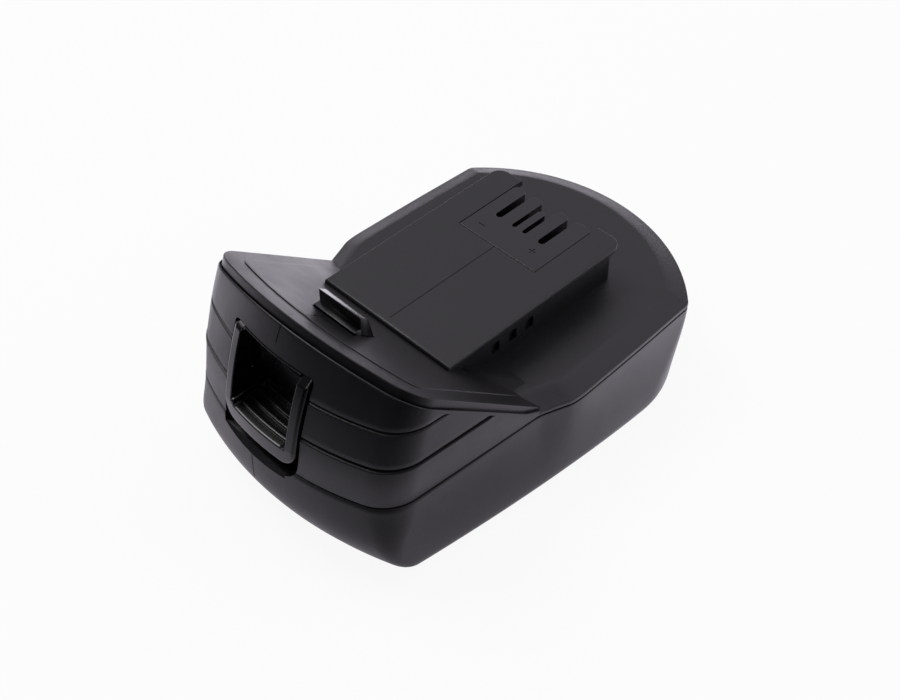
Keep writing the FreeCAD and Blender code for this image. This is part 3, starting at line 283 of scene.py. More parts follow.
def sheet_good(name, colour, other, scale, rough, bump_mm):
    """Card, foam or board laminate: two mottled tones with a soft relief."""
    look = Look(bpy.data.materials.new(name))
    mottle = look.noise(scale, 5.0, 0.65)
    base = look.tint(look.band(mottle, 0.35, 0.65), colour + (1.0,), other + (1.0,))
    return look.surface(Base_Color=base, Roughness=mottle * 0.2 + (rough - 0.1),
                        Normal=look.bump(mottle, bump_mm * MM))


# Meshes
def settings():
    scene = bpy.context.scene
    return scene.battery_sizes, scene.battery_colours


def placed(name, data):
    """Links a new object that holds a mesh, a lamp or a camera."""
    piece = bpy.data.objects.new(name, data)
    bpy.context.scene.collection.objects.link(piece)
    return piece


def evaluated(piece):
    """A plain mesh of a piece with its modifiers applied."""
    graph = bpy.context.evaluated_depsgraph_get()
    return bpy.data.meshes.new_from_object(piece.evaluated_get(graph))


def finished(name, mesh, materials, body, replaced, sharp=35.0):
    """Puts a mesh in the scene as a piece that rides on a body in a node's place."""
    piece = placed(name, mesh)
    mesh.materials.clear()
    for material in materials:
        mesh.materials.append(material)
    mesh.shade_smooth()
    mesh.set_sharp_from_angle(angle=math.radians(sharp))
    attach(piece, body)
    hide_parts(replaced)


def plain_mesh(name, points, faces):
    """A mesh of points in millimetres."""
    mesh = bpy.data.meshes.new(name)
    mesh.from_pydata([tuple(float(v) * MM for v in p) for p in points], [], faces)
    return mesh


def stack(name, rings, marks=None, outwards=True):
    """A closed solid from rings of equal length, capped at both ends.

    Rings that don't run up the outside or down the inside need their faces turned outwards.
    Marks give the material of the first cap, of each gap between rings and of the last cap.
    """
    marks = marks or [0] * (len(rings) + 1)
    count = len(rings[0])
    index = np.arange(len(rings) * count).reshape(-1, count)
    after = np.roll(index, -1, axis=1)
    sides = np.stack([index[:-1], after[:-1], after[1:], index[1:]], 2).reshape(-1, 4)
    faces = [index[0, ::-1].tolist(), *sides.tolist(), index[-1].tolist()]
    mesh = plain_mesh(name, np.concatenate(rings), faces)
    labels = np.concatenate([marks[:1], np.repeat(marks[1:-1], count), marks[-1:]])
    mesh.polygons.foreach_set("material_index", labels)
    mesh.update()
    bm = bmesh.new()
    bm.from_mesh(mesh)
    bmesh.ops.remove_doubles(bm, verts=bm.verts, dist=0.01 * MM)
    bmesh.ops.dissolve_degenerate(bm, edges=bm.edges, dist=0.01 * MM)
    if not outwards:
        bmesh.ops.recalc_face_normals(bm, faces=bm.faces)
    bm.to_mesh(mesh)
    bm.free()
    return mesh


def prism(name, outline, axis, low, high):
    """A prism of a flat outline along an axis: 0 is X with (y, z), 1 is Y with (x, z), 2 is Z."""
    outline = np.asarray(outline, float)
    rings = [np.insert(outline, axis, end, axis=1) for end in (low, high)]
    return stack(name, rings, outwards=False)


def block(name, x0, x1, y0, y1, z0, z1):
    return prism(name, [(x0, y0), (x1, y0), (x1, y1), (x0, y1)], 2, z0, z1)


def joined(name, meshes):
    """One mesh of several, each keeping its own material marks."""
    bm = bmesh.new()
    for mesh in meshes:
        bm.from_mesh(mesh)
        bpy.data.meshes.remove(mesh)
    mesh = bpy.data.meshes.new(name)
    bm.to_mesh(mesh)
    bm.free()
    return mesh


def carve(mesh, tools, kind="DIFFERENCE"):
    """Cuts a mesh with tool meshes, or keeps what they share."""
    work = placed("work", mesh)
    for tool in tools:
        cutter = placed("cutter", tool)
        modifier = work.modifiers.new("cut", "BOOLEAN")
        modifier.operation, modifier.object, modifier.solver = kind, cutter, "EXACT"
        result = evaluated(work)
        work.modifiers.clear()
        work.data = result
        bpy.data.objects.remove(cutter)
        bpy.data.meshes.remove(tool)
    result = work.data
    bpy.data.objects.remove(work)
    return result


def bevelled(mesh, width_mm, angle=40.0):
    """A mesh with its sharp edges rounded in two steps."""
    work = placed("work", mesh)
    modifier = work.modifiers.new("edge", "BEVEL")
    modifier.width, modifier.segments = width_mm * MM, 2
    modifier.limit_method, modifier.angle_limit = "ANGLE", math.radians(angle)
    modifier.use_clamp_overlap = True
    result = evaluated(work)
    bpy.data.objects.remove(work)
    return result


# Outlines of the casing, seen from above
def face_y(z):
    """Y of the front face's middle at a height."""
    rise = np.maximum(0.0, np.asarray(z, float) - PLUMB)
    return FRONT + FACE_R - np.sqrt(FACE_R ** 2 - rise ** 2)


def rounded_under(z, radius):
    """How far a wall draws in at a height where it rounds into the base."""
    drop = max(0.0, radius - z)
    return radius - math.sqrt(max(0.0, radius ** 2 - drop ** 2))


def hood_plane(y):
    return TIP_Z + RISE * (TIP_Y - np.asarray(y, float))


def over_hood(y, height):
    """A point (y, z) at a height over the hood's plane."""
    return (y, float(hood_plane(y)) + height)


def through(places, values, where):
    """A curve through points that never overshoots them."""
    x, v = np.asarray(places, float), np.asarray(values, float)
    h, rise = np.diff(x), np.diff(v) / np.diff(x)
    slope = np.zeros_like(v)
    slope[0], slope[-1] = rise[0], rise[-1]
    both = rise[:-1] * rise[1:]
    total = np.where(both > 0, rise[:-1] + rise[1:], 1.0)
    slope[1:-1] = np.where(both > 0, 2 * both / total, 0.0)
    i = np.clip(np.searchsorted(x, where) - 1, 0, len(h) - 1)
    t = (where - x[i]) / h[i]
    return ((1 + 2 * t) * (1 - t) ** 2 * v[i] + t * (1 - t) ** 2 * h[i] * slope[i]
            + t * t * (3 - 2 * t) * v[i + 1] + t * t * (t - 1) * h[i] * slope[i + 1])


def rim_half(y):
    return through(RIM_Y, RIM_X, np.asarray(y, float))


def belly_half(y):
    ahead = BELLY_Y - np.asarray(y, float)
    return BELLY_X - np.where(ahead > 0, BOW_IN * np.abs(ahead) ** BOW_POWER,
                              REAR_IN * ahead ** 2)


def tangent(bow_centre, bow, corner, half, sign):
    """Centre of a corner arc that touches a bow and the side, and the side's slope there."""
    low, high = 0.0, bow - corner
    for _ in range(50):
        cx = (low + high) / 2
        cy = bow_centre + sign * math.sqrt((bow - corner) ** 2 - cx ** 2)
        slope = float(half(cy + 0.5) - half(cy - 0.5))
        if cx - float(half(cy)) + corner * math.hypot(1, slope) > 0:
            high = cx
        else:
            low = cx
    return cx, cy, slope


def arc(cx, cy, radius, start, end, count):
    angle = np.linspace(start, end, count)
    return np.stack([cx + radius * np.cos(angle), cy + radius * np.sin(angle)], 1)


def mirrored(right):
    """A closed outline from its right half, which starts and ends on the middle."""
    return np.concatenate([right, right[1:-1][::-1] * (-1, 1)])


def nose_and_cheek(centre, bow, corner, half, counts):
    """The arc of a front bow from the middle, and the corner that leads it into the side."""
    x, y, slope = tangent(centre, bow, corner, half, -1)
    turn = math.atan2(y - centre, x)
    return (arc(0, centre, bow, -math.pi / 2, turn, counts[0]),
            arc(x, y, corner, turn, -math.atan(slope), counts[1]))


def plan(front, back, half, corner_back, inset=0.0, bow_full=BOW_R, corner_front=FRONT_CORNER):
    """Closed outline from its right half: bow, corner, side, corner, back bow."""
    bow, rear = bow_full - inset, BACK_R - inset
    r_front, r_back = max(corner_front - inset, 0.8), max(corner_back - inset, 0.8)

    def side(y):
        return half(y) - inset

    nose, cheek = nose_and_cheek(front + bow_full, bow, r_front, side, (26, 16))
    x, y, slope = tangent(back - BACK_R, rear, r_back, side, 1)
    turn = math.atan2(y - back + BACK_R, x)
    corner = arc(x, y, r_back, -math.atan(slope), turn, 16)
    ys = np.linspace(cheek[-1][1], corner[0][1], 90)
    flank = np.stack([side(ys), ys], 1)
    tail = arc(0, back - BACK_R, rear, turn, math.pi / 2, 26)
    return mirrored(np.concatenate([nose, cheek[1:], flank[1:-1], corner, tail[1:]]))


def level(outline, z):
    return np.insert(outline, 2, z, axis=1)


def shell_plan(z, inset=0.0):
    """Outline of the lower shell at a height."""
    tuck = rounded_under(z, SIDE_ROUND)
    share = min(1.0, max(0.0, (SEAM - z) / (SEAM - BELLY_Z)))
    share = share * share * (3 - 2 * share)

    def half(y):
        return rim_half(y) * (1 - share) + belly_half(y) * share - tuck

    def between(high, low):
        return high + share * (low - high)

    return plan(float(face_y(z)) + rounded_under(z, NOSE_ROUND),
                BACK - rounded_under(z, BACK_ROUND) - share * BACK_LEAN, half,
                between(BACK_CORNER, BACK_CORNER_LOW), inset, between(BOW_R, BOW_R_LOW),
                between(FRONT_CORNER, FRONT_CORNER_LOW))


def rounded_box(x0, x1, z0, z1, low_corner, top_corner, count=8):
    """Outline with rounded corners, as (x, z) points."""
    points = []
    for cx, cz, r, start in ((x0, z0, low_corner, 180), (x1, z0, low_corner, 270),
                             (x1, z1, top_corner, 0), (x0, z1, top_corner, 90)):
        ox, oz = cx + (r if cx == x0 else -r), cz + (r if cz == z0 else -r)
        for angle in np.radians(np.linspace(start, start + 90, count)):
            points.append((ox + r * math.cos(angle), oz + r * math.sin(angle)))
    return points


def narrowed(x, z):
    """The button's right side draws in towards its lower end; x is from its middle."""
    down = np.clip(1 - (np.asarray(z, float) - LOW_Z) / TALL, 0.0, 1.15)
    return x - TAPER * down * np.clip(np.asarray(x, float) / HALF, 0.0, 1.0)


def button_prism(name, outline, back):
    """A cutter that runs back from ahead of the face, narrowed like the button."""
    outline = [(LATCH_X + float(narrowed(x, z)), z) for x, z in outline]
    return prism(name, outline, 1, FAR_AHEAD, back)


def button_hole():
    side = HALF + SIDE_GAP
    outline = rounded_box(-side, side, LOW_Z - HOLE_DROP - TOP_GAP, TOP_Z + TOP_GAP,
                          CORNER + SIDE_GAP, HOLE_CORNER)
    return button_prism("hole", outline, HOLE_BACK)


# Upper housing
class Hood:
    """Points on the hood's wall and top, column by column."""

    def __init__(self):
        self.table = np.array([self.outline(z) for z in np.arange(HOOD_LOW, HOOD_HIGH + 0.5)])
        middle = self.at(MIDWAY)
        along = np.roll(middle, -1, axis=0) - np.roll(middle, 1, axis=0)
        along /= np.linalg.norm(along, axis=1)[:, None]
        self.inward = np.stack([-along[:, 1], along[:, 0]], 1)
        self.count = len(middle)
        self.lip = self.meet(LIP)

    def at(self, z):
        return self.table[z - int(HOOD_LOW)]

    def outline(self, z):
        """The wall's outline at a height; its columns match those of every other height."""
        front = float(face_y(z))

        def half(y):
            return NOSE_HALF + FLARE * (y - front)

        nose, cheek = nose_and_cheek(front + BOW_R, BOW_R, FRONT_CORNER, half, (34, 20))
        ys = np.linspace(cheek[-1][1], -TIP_Y, 46)
        flank = np.stack([half(ys), ys], 1)
        back = np.stack([np.linspace(float(half(-TIP_Y)), 0.0, 4), np.full(4, -TIP_Y)], 1)
        return mirrored(np.concatenate([nose, cheek[1:], flank[1:], back[1:]]))

    def wall(self, z, inset):
        """A ring on the wall, in from its surface; both may differ from column to column."""
        z = np.broadcast_to(np.asarray(z, float), self.count)
        spot = np.clip(z - HOOD_LOW, 0, len(self.table) - 1.001)
        i = spot.astype(int)
        t = (spot - i)[:, None]
        column = np.arange(self.count)
        flat = self.table[i, column] * (1 - t) + self.table[i + 1, column] * t
        inset = np.broadcast_to(np.asarray(inset, float), self.count)[:, None]
        return np.concatenate([flat + self.inward * inset, z[:, None]], 1)

    def meet(self, inset, drop=0.0):
        """Height at which the wall meets the hood plane, for each column."""
        z = np.full(self.count, 50.0)
        for _ in range(40):
            z = np.clip(hood_plane(self.wall(z, inset)[:, 1]) - drop, HOOD_LOW, 79.0)
        return z

    def top(self, inset, rise):
        """A ring on the hood plane, in from the lip, raised by a height."""
        ring = self.wall(self.lip, LIP + inset)
        ring[:, 2] = hood_plane(ring[:, 1]) + rise
        return ring


def hood_mesh(sizes):
    """The hood: inside, face with its grooves, ledge, rounded lip, border and raised plate."""
    hood = Hood()
    edge = sizes.edge / MM
    wide, deep = sizes.groove_wide / MM, sizes.groove_deep / MM
    border = sizes.border / MM
    room = np.clip((hood.lip - SEAM) / 6.0, 0.0, 1.0)
    ledge = hood.lip - LIP_TALL * room
    limit = ledge - 0.9 * room
    rings, marks = [], []

    def add(ring, mark=GRAINED):
        rings.append(ring)
        marks.append(mark)

    add(hood.wall(np.maximum(hood.meet(WALL, 2.8), SEAM), WALL))
    add(hood.wall(SEAM, WALL))

    profile = [(SEAM, edge), (SEAM + 0.1, 0.4 * edge), (SEAM + edge, 0.0)]
    for centre, step in GROOVES:
        low, high = centre - wide / 2, centre + wide / 2
        profile += [(low - 2.0, 0.0), (low - 0.45, -step), (low - 0.16, -step),
                    (low - 0.04, 0.08 - step), (low + 0.03, 0.25), (low + 0.08, deep),
                    (high - 0.08, deep), (high - 0.03, 0.25), (high + 0.04, 0.08),
                    (high + 0.18, 0.0), (high + 1.5, 0.0)]
    profile += [(52.0, 0.0), (55.0, 0.0), (58.0, 0.0), (61.0, 0.0)]
    for z, inset in profile:
        clipped = np.minimum(z, np.maximum(limit, SEAM + 0.02))
        add(hood.wall(clipped, np.where(z < limit, inset, 0.0)))

    for angle in np.radians(np.linspace(180, 90, 7)):
        add(hood.wall(ledge - LIP_STEP * (1 - math.sin(angle)) * room,
                      LIP_STEP * (1 + math.cos(angle))))
    ahead = np.clip((-30.0 - hood.at(FADE_Z)[:, 1]) / 14.0, 0.0, 1.0)
    # The face down from the ledge and the ledge's floor take painted shade
    for drop, inset, mark in ((0.06, 0.34, GRAINED), (0.80, 0.42, PAINTED_SHADE), (0.80, 0.80, PAINTED_SHADE)):
        add(hood.wall(ledge - drop * room * ahead, inset), mark)

    plane = np.arctan2(-RISE * hood.inward[:, 1], 1.0)
    half = (plane + math.pi / 2) / 2
    reach = LIP_R / np.sin(half)
    # The riser up to the rounded lip takes painted shade as well; the lip itself is satin
    for share in np.linspace(0.0, 1.0, 9):
        angle = math.pi + (plane - math.pi / 2) * share
        inset = LIP + reach * np.cos(half - math.pi / 2) + LIP_R * np.cos(angle)
        lift = reach * np.sin(half - math.pi / 2) + LIP_R * np.sin(angle)
        add(hood.wall(hood.lip + lift * room, inset), SATIN if share > 0.1 else PAINTED_SHADE)

    for inset, rise, mark in (
            (0.9, 0.0, BORDER), (border - 0.5, 0.0, BORDER), (border - 0.12, 0.0, SATIN),
            (border - 0.08, 0.10, SATIN), (border - 0.02, 0.19, SATIN),
            (border + 0.08, 0.26, SATIN), (border + 0.22, PLATE_RISE, SATIN),
            (border + 0.6, PLATE_RISE, SATIN)):
        add(hood.top(inset, rise), mark)
    return stack("hood", rings, marks + [SATIN])


def rim_mesh(sizes):
    """The outer rim, its sloping band and the valley floor."""
    edge = sizes.edge / MM

    def tucked(y):
        return rim_half(y) - 1.2 * np.clip((-9.0 - np.asarray(y, float)) / 3.0, 0.0, 1.0)

    def ring(z, inset):
        return level(plan(float(face_y(SEAM)) + 2.0, BACK, tucked, BACK_CORNER, inset), z)

    wall = ((27.6, 4.4), (SEAM, 4.4), (SEAM, edge), (SEAM + 0.08, 0.1), (SEAM + edge, 0.0),
            (RIM - edge, 0.0), (RIM - 0.08, 0.08), (RIM + 0.03, 0.28), (RIM + 0.12, 0.5))
    slope = tuple((RIM + 0.05 + share * (FLOOR - RIM), 0.4 + share * 5.3)
                  for share in (0.25, 0.5, 0.75))
    valley = ((FLOOR - 0.09, 5.5), (FLOOR - 0.02, 5.75), (FLOOR, 6.0), (FLOOR, 7.0))
    rings = [ring(z, inset) for z, inset in wall + slope + valley]
    return stack("rim", rings, [GRAINED] * (len(rings) - 2) + [SATIN] * 3)


def deck_plan(inset, front_inset):
    """Outline of the deck with rounded back corners."""
    half, r = DECK_HALF - inset, max(3.5 - inset, 0.6)
    front, back = DECK_FRONT + front_inset, DECK_BACK - inset
    corner = arc(half - r, back - r, r, 0, math.pi / 2, 10)
    return mirrored(np.concatenate([[(0, front), (half, front)], corner, [(0, back)]]))


def deck_mesh():
    """Rail walls and the deck with its flanges, hollow below; the front has no overhang."""
    rings = [level(deck_plan(inset, ahead), z) for z, inset, ahead in (
        (39.3, 3.8, 3.8), (28.0, 3.8, 3.8), (28.0, 1.6, 0.10), (39.0, 1.6, 0.10),
        (39.75, 1.55, 0.10), (39.9, 1.3, 0.10), (39.92, 0.22, 0.10), (39.98, 0.06, 0.06),
        (40.1, 0.0, 0.0), (40.70, 0.0, 0.0), (40.95, 0.0, 0.05), (41.20, 0.0, 0.17),
        (41.32, 0.03, 0.28), (41.41, 0.09, 0.42), (41.47, 0.18, 0.58), (DECK, 0.30, 0.80),
        (DECK, 1.2, 1.4))]
    return stack("deck", rings, [SATIN] * (len(rings) + 1))


def deck_cutters():
    """The well for the terminal block, the notches in the rail walls and the centre line."""
    notches = []
    for side in (-1, 1):
        x0, x1 = sorted(side * x for x in NOTCH_X)
        for step in range(NOTCH_COUNT):
            y = NOTCH_FIRST + NOTCH_PITCH * step
            notches.append(block("notch", x0, x1, y - NOTCH_HALF, y + NOTCH_HALF, *NOTCH_Z))
    return [block("well", *WELL_SIDES, WELL_FRONT, 80.0, FLOOR, 60.0),
            joined("notches", notches),
            block("seam", *DECK_LINE, -21.4, 16.0, DECK - LINE_DEEP, 42.0)]


def parting_line():
    """The fine line that runs down the middle of the hood's front and back over its top."""
    def skin(z, deep):
        return float(face_y(z)) + 0.02 + deep

    face = [(AHEAD, 55.6), (skin(55.6, LINE_DEEP), 55.6), (skin(57.0, 0.26), 57.0),
            (skin(61.2, 0.26), 61.2), (AHEAD, 61.2)]
    top = [over_hood(y, height) for y, height in (
        (-54.0, -0.12), (-49.2, -0.12), (-48.9, 0.16), (-39.0, 0.16), (-39.0, 3.0), (-54.0, 3.0))]
    return joined("lines", [prism("face line", face, 0, *FACE_LINE),
                            prism("top line", top, 0, *TOP_LINE)])


def shell_mesh():
    """The lower shell: outside upwards, the seam's step, then down the inside."""
    rings = [level(shell_plan(0.0, 3.0), 0.0)]
    rings += [level(shell_plan(z), z) for z in (
        0.0, 0.06, 0.2, 0.45, 0.8, 1.3, 1.9, 2.6, 3.4, 4.3, 5.3, 6.5, 8.0, 9.5, 11.0, 12.5, 14.0,
        16.0, 18.0, 20.0, 22.0, 24.0, 25.2)]
    rings += [level(shell_plan(SEAM, inset), SEAM - drop) for drop, inset in (
        (0.7, 0.0), (0.55, 0.04), (0.45, 0.18), (0.42, 0.9), (0.0, 0.9), (0.0, WALL))]
    rings += [level(shell_plan(z, WALL), z) for z in (22.0, 16.0, 11.0, 8.0)]
    rings += [level(shell_plan(z, WALL), z + WALL) for z in (4.0, 2.0, 0.8, 0.2, 0.0)]
    return stack("shell", rings)


class BATTERY_OT_lower_shell(bpy.types.Operator):
    """Builds the lower shell with its rounded underside and front lip"""
    bl_idname = "battery.lower_shell"
    bl_label = "Lower shell"

    def execute(self, context):
        colours = settings()[1]
        line = block("line", *SHELL_LINE, AHEAD, -62.60, 8.0, 22.0)
        wells = [prism("well", arc(x, y, WELL_R, 0, 2 * math.pi, 33)[:-1], 2, -3.0, 7.0)
                 for x, y in SCREW_WELLS]
        mesh = carve(shell_mesh(), [button_hole(), self.chamfer(), line, joined("wells", wells)])
        grain = moulded_plastic("shell_plastic", colours.shell, 0.42, 0.05, 0.26)
        finished("shell_skin", mesh, [grain], "pack", "lower_shell")
        return {"FINISHED"}

    def chamfer(self):
        """A cutter for the lip under the button, turned a little to the left."""
        lip = [(AHEAD, 21.3), (-62.90, 21.3), (-61.40, 22.75), (-60.0, 22.9), (-60.0, 30.0),
               (AHEAD, 30.0)]
        cutter = prism("lip", lip, 0, LATCH_X - HALF - 1.0, LATCH_X + HALF - 4.0)
        for vertex in cutter.vertices:
            vertex.co.y -= 0.050 * (vertex.co.x - LATCH_X * MM)
        return cutter


class BATTERY_OT_upper_housing(bpy.types.Operator):
    """Builds the hood, rim, valley, rails and deck"""
    bl_idname = "battery.upper_housing"
    bl_label = "Upper housing"

    def execute(self, context):
        sizes, colours = settings()
        hood = carve(hood_mesh(sizes),
                     [button_hole(), block("hook hole", *HOOK_HOLE), parting_line()])
        rim = carve(rim_mesh(sizes), [button_hole()])
        deck = carve(deck_mesh(), deck_cutters())
        mesh = joined("housing", [hood, rim, deck])
        # Painted shade is kept at the front only; further back those faces go back to the grained
        # finish
        for face in mesh.polygons:
            if face.material_index == PAINTED_SHADE and face.center.y > PAINTED_SHADE_UNTIL:
                face.material_index = GRAINED
        finishes = [
            moulded_plastic("housing_plastic", colours.shell, 0.44, 0.045, 0.26),
            moulded_plastic("deck_plastic", colours.deck, 0.115, 0.004, 0.5, 0.16, 0.5),
            moulded_plastic("border_plastic", colours.shell, 0.34, 0.02, 0.3, gloss=0.24),
            # Painted shade: half the casing colour with little gloss, standing in for the shadowed
            # gap under the lip
            moulded_plastic("gap_painted_shade", shade(colours.shell, 0.5), 0.60, 0.02, 0.3, gloss=0.10),
        ]
        finished("housing_skin", mesh, finishes, "pack", "upper_housing")
        return {"FINISHED"}


class BATTERY_OT_terminal_block(bpy.types.Operator):
    """Builds the comb-shaped block between the four terminal slots"""
    bl_idname = "battery.terminal_block"
    bl_label = "Terminal block"

    HALF, FRONT_Y, SLOT_Y, BOTTOM, TOP, MARK_DEEP = 13.0, 14.95, 23.6, 29.4, 41.4, 0.15
    TEETH = ((HALF, 7.65, 36.6), (5.65, 1.70, 36.4), (0.40, -1.85, 33.2), (-3.15, -7.0, 36.3),
             (-9.0, -HALF, 36.2))  # right side, left side, back end
    MINUS = ((-9.6, -7.6, 18.4, 18.75),)
    PLUS = ((6.4, 8.4, 20.0, 20.35), (7.225, 7.575, 19.18, 21.17))

    def execute(self, context):
        colours = settings()[1]
        mesh = bevelled(prism("comb", self.comb(), 2, self.BOTTOM, self.TOP), 0.07, 50)
        mesh = carve(mesh, [block("mark", *sides, self.TOP - self.MARK_DEEP, 42)
                            for sides in self.MINUS + self.PLUS])
        finish = moulded_plastic("block_plastic", colours.deck, 0.34, 0.012, 0.4, gloss=0.5)
        finished("block_skin", mesh, [finish], "pack", "terminal_block", 18.0)
        return {"FINISHED"}

    def comb(self):
        """The block's outline: rounded teeth with round-ended slots between them."""
        outline = [(-self.HALF, self.FRONT_Y), (self.HALF, self.FRONT_Y)]
        for index, (right, left, end) in enumerate(self.TEETH):
            r = min((right - left) / 2, 1.6)
            outline += [*arc(right - r, end - r, r, 0, math.pi / 2, 7),
                        *arc(left + r, end - r, r, math.pi / 2, math.pi, 7)]
            if index < len(self.TEETH) - 1:
                after = self.TEETH[index + 1][0]
                w = (left - after) / 2
                outline += [*arc(after + w, self.SLOT_Y + w, w, 0, -math.pi, 9)]
        return outline


# Release latch
def scoop_depth(x, z):
    """Depth of the button's face below its frame; x and z are from its lower middle."""
    inside = HALF - FRAME - np.abs(x)
    across, under = SHELF_SOFT - inside, SHELF_SOFT + SHELF - z
    low = np.where((across > 0) & (under > 0), SHELF + SHELF_SOFT - np.hypot(across, under), z)
    deep = through(SCOOP_Z, SCOOP_DEEP, np.clip(low, SHELF, TALL))
    radius = np.minimum(BOWL_R, deep)
    t = np.clip(inside, 0.0, radius + 1e-6)
    bowl = deep - radius + np.sqrt(np.maximum(0.0, radius ** 2 - (radius - t) ** 2))
    return np.where(inside > 0, bowl, 0.0) * (z > SHELF)


def edge_round(distance, radius):
    """How far an edge of a radius draws in at a distance from it."""
    q = np.clip(distance, 0.0, radius)
    return radius - np.sqrt(np.maximum(0.0, radius ** 2 - (radius - q) ** 2))


def button_front():
    """A fine grid of points on the button's face, a little larger than its outline."""
    inner = HALF - FRAME
    xs = np.concatenate([np.linspace(-HALF - 0.2, -inner - 0.02, 40),
                         np.linspace(-inner, inner, 110),
                         np.linspace(inner + 0.02, HALF + 0.2, 40)])
    zs = np.concatenate([np.linspace(-0.2, SHELF - 0.02, 34), np.linspace(SHELF + 0.015, 6.4, 70),
                         np.linspace(6.5, TALL + 0.1, 120)])
    x, z = np.meshgrid(xs, zs)
    drawn_in = narrowed(x, z + LOW_Z)
    skin = face_y(z + LOW_Z) + BOW_R - np.sqrt(BOW_R ** 2 - (drawn_in + LATCH_X) ** 2)
    dx, dz = np.abs(x) - (HALF - CORNER), CORNER - z
    outer = np.where((dx > 0) & (dz > 0),
                     CORNER - np.hypot(np.maximum(dx, 0), np.maximum(dz, 0)),
                     np.minimum(HALF - np.abs(x), z))
    inner_edge = np.where(z > SHELF, np.abs(np.abs(x) - inner),
                          np.hypot(np.maximum(0.0, np.abs(x) - inner), SHELF - z))
    rounding = edge_round(outer, OUTER_R) + edge_round(inner_edge, INNER_R)
    end = TALL - z
    nose = edge_round(end, 1.5) * (x < 0) + np.clip(2.0 - end, 0.0, 2.0) * 0.8 * (x > 0)
    facet = np.where(np.abs(x) > inner - 0.01, nose, 0.0)
    proud = PROUD * np.clip(0.4 + z / 9.0, 0.0, 1.0)
    y = skin - proud + np.maximum(scoop_depth(x, z), rounding + facet)
    return np.stack([drawn_in + LATCH_X, y, z + LOW_Z], 2)


def button_mesh():
    """The button's face, closed by a flat back."""
    front = button_front()
    points = front.reshape(-1, 3)
    index = np.arange(len(points)).reshape(front.shape[:2])
    face = np.stack([index[:-1, :-1], index[:-1, 1:], index[1:, 1:], index[1:, :-1]], 2)
    border = np.concatenate([index[0], index[1:, -1], index[-1, -2::-1], index[-2:0:-1, 0]])
    behind = len(points) + np.arange(len(border))
    side = np.stack([np.roll(border, -1), border, behind, np.roll(behind, -1)], 1)
    faces = [*face.reshape(-1, 4).tolist(), *side.tolist(), behind[::-1].tolist()]
    back = points[border] * (1, 0, 1) + (0, BUTTON_BACK, 0)
    mesh = plain_mesh("button", np.concatenate([points, back]), faces)
    mesh.update()
    return mesh


class GeometryTree:
    """A geometry node tree with named inputs, written in the script."""

    def __init__(self, name):
        self.tree = bpy.data.node_groups.new(name, "GeometryNodeTree")
        self.sockets = {}
        for way in ("INPUT", "OUTPUT"):
            self.tree.interface.new_socket("Geometry", in_out=way,
                                           socket_type="NodeSocketGeometry")
        self.inside = self.tree.nodes.new("NodeGroupInput")
        self.outside = self.tree.nodes.new("NodeGroupOutput")

    def value(self, name, kind):
        made = self.tree.interface.new_socket(name, in_out="INPUT",
                                              socket_type="NodeSocket" + kind)
        self.sockets[name] = made.identifier
        return next(s for s in self.inside.outputs if s.identifier == made.identifier)

    def node(self, kind, options=None, **inputs):
        return add_node(self.tree, kind, options, inputs)

    def run(self, name, geometry, material, values):
        """Closes the tree, evaluates it and returns a plain mesh."""
        real = self.node("GeometryNodeRealizeInstances", Geometry=geometry)
        painted = self.node("GeometryNodeSetMaterial", Geometry=real.outputs[0],
                            Material=material)
        self.tree.links.new(painted.outputs[0], self.outside.inputs[0])
        holder = placed(name, bpy.data.meshes.new(name))
        modifier = holder.modifiers.new("nodes", "NODES")
        modifier.node_group = self.tree
        for key, value in values.items():
            modifier[self.sockets[key]] = value
        mesh = evaluated(holder)
        holder.modifiers.clear()
        bpy.data.objects.remove(holder)
        return mesh


def grip_ribs(material, sizes):
    """Curved flat ribs, one behind the other across the scoop's level shelf."""
    tree = GeometryTree("grip ribs")
    bow, sweep, start = (tree.value(name, "Float") for name in ("Bow radius", "Sweep", "Start"))
    wide, tall = tree.value("Width", "Float"), tree.value("Height", "Float")
    first, step = tree.value("First", "Vector"), tree.value("Step", "Vector")
    count = tree.value("Count", "Int")
    bend = tree.node("GeometryNodeCurveArc", {"mode": "RADIUS"}, Resolution=40, Radius=bow,
                     Start_Angle=start, Sweep_Angle=sweep)
    ring = tree.node("GeometryNodeCurvePrimitiveQuadrilateral", {"mode": "RECTANGLE"},
                     Width=wide, Height=tall)
    soft = tree.node("GeometryNodeFilletCurve", {"mode": "POLY"}, Curve=ring.outputs[0],
                     Radius=0.00016, Count=2)
    bar = tree.node("GeometryNodeCurveToMesh", Curve=bend.outputs[0],
                    Profile_Curve=soft.outputs[0], Fill_Caps=True)
    line = tree.node("GeometryNodeMeshLine", {"mode": "OFFSET"}, Count=count,
                     Start_Location=first, Offset=step)
    ribs = tree.node("GeometryNodeInstanceOnPoints", Points=line.outputs[0],
                     Instance=bar.outputs[0])
    middle, half = LATCH_X / BOW_R, RIB_HALF / BOW_R
    foot_y, foot_z = float(face_y(LOW_Z + SHELF)) + 2.0, LOW_Z + 4.98
    return tree.run("ribs", ribs.outputs[0], material, {
        "Bow radius": BOW_R * MM,
        "Start": -math.pi / 2 + middle - half,
        "Sweep": 2 * half,
        "Count": sizes.rib_count,
        "Step": (0.0, sizes.rib_pitch, RIB_STEP_UP),
        "First": (0.0, (foot_y + BOW_R) * MM, foot_z * MM),
        "Width": RIB_WIDE * MM,
        "Height": RIB_TALL * MM,
    })


def fence_mesh():
    """The ridge along the left side of the scoop's shelf."""
    x = LATCH_X - HALF + FRAME + 0.55
    front, low = float(face_y(LOW_Z + SHELF)) + 0.2, LOW_Z + 4.2
    back = front + 9.9
    side = [(front, low), (front, low + 2.1), (front + 0.8, low + 2.5), (back, low + 2.7),
            (back, low)]
    return bevelled(prism("fence", side, 0, x - 0.55, x + 0.55), 0.25)


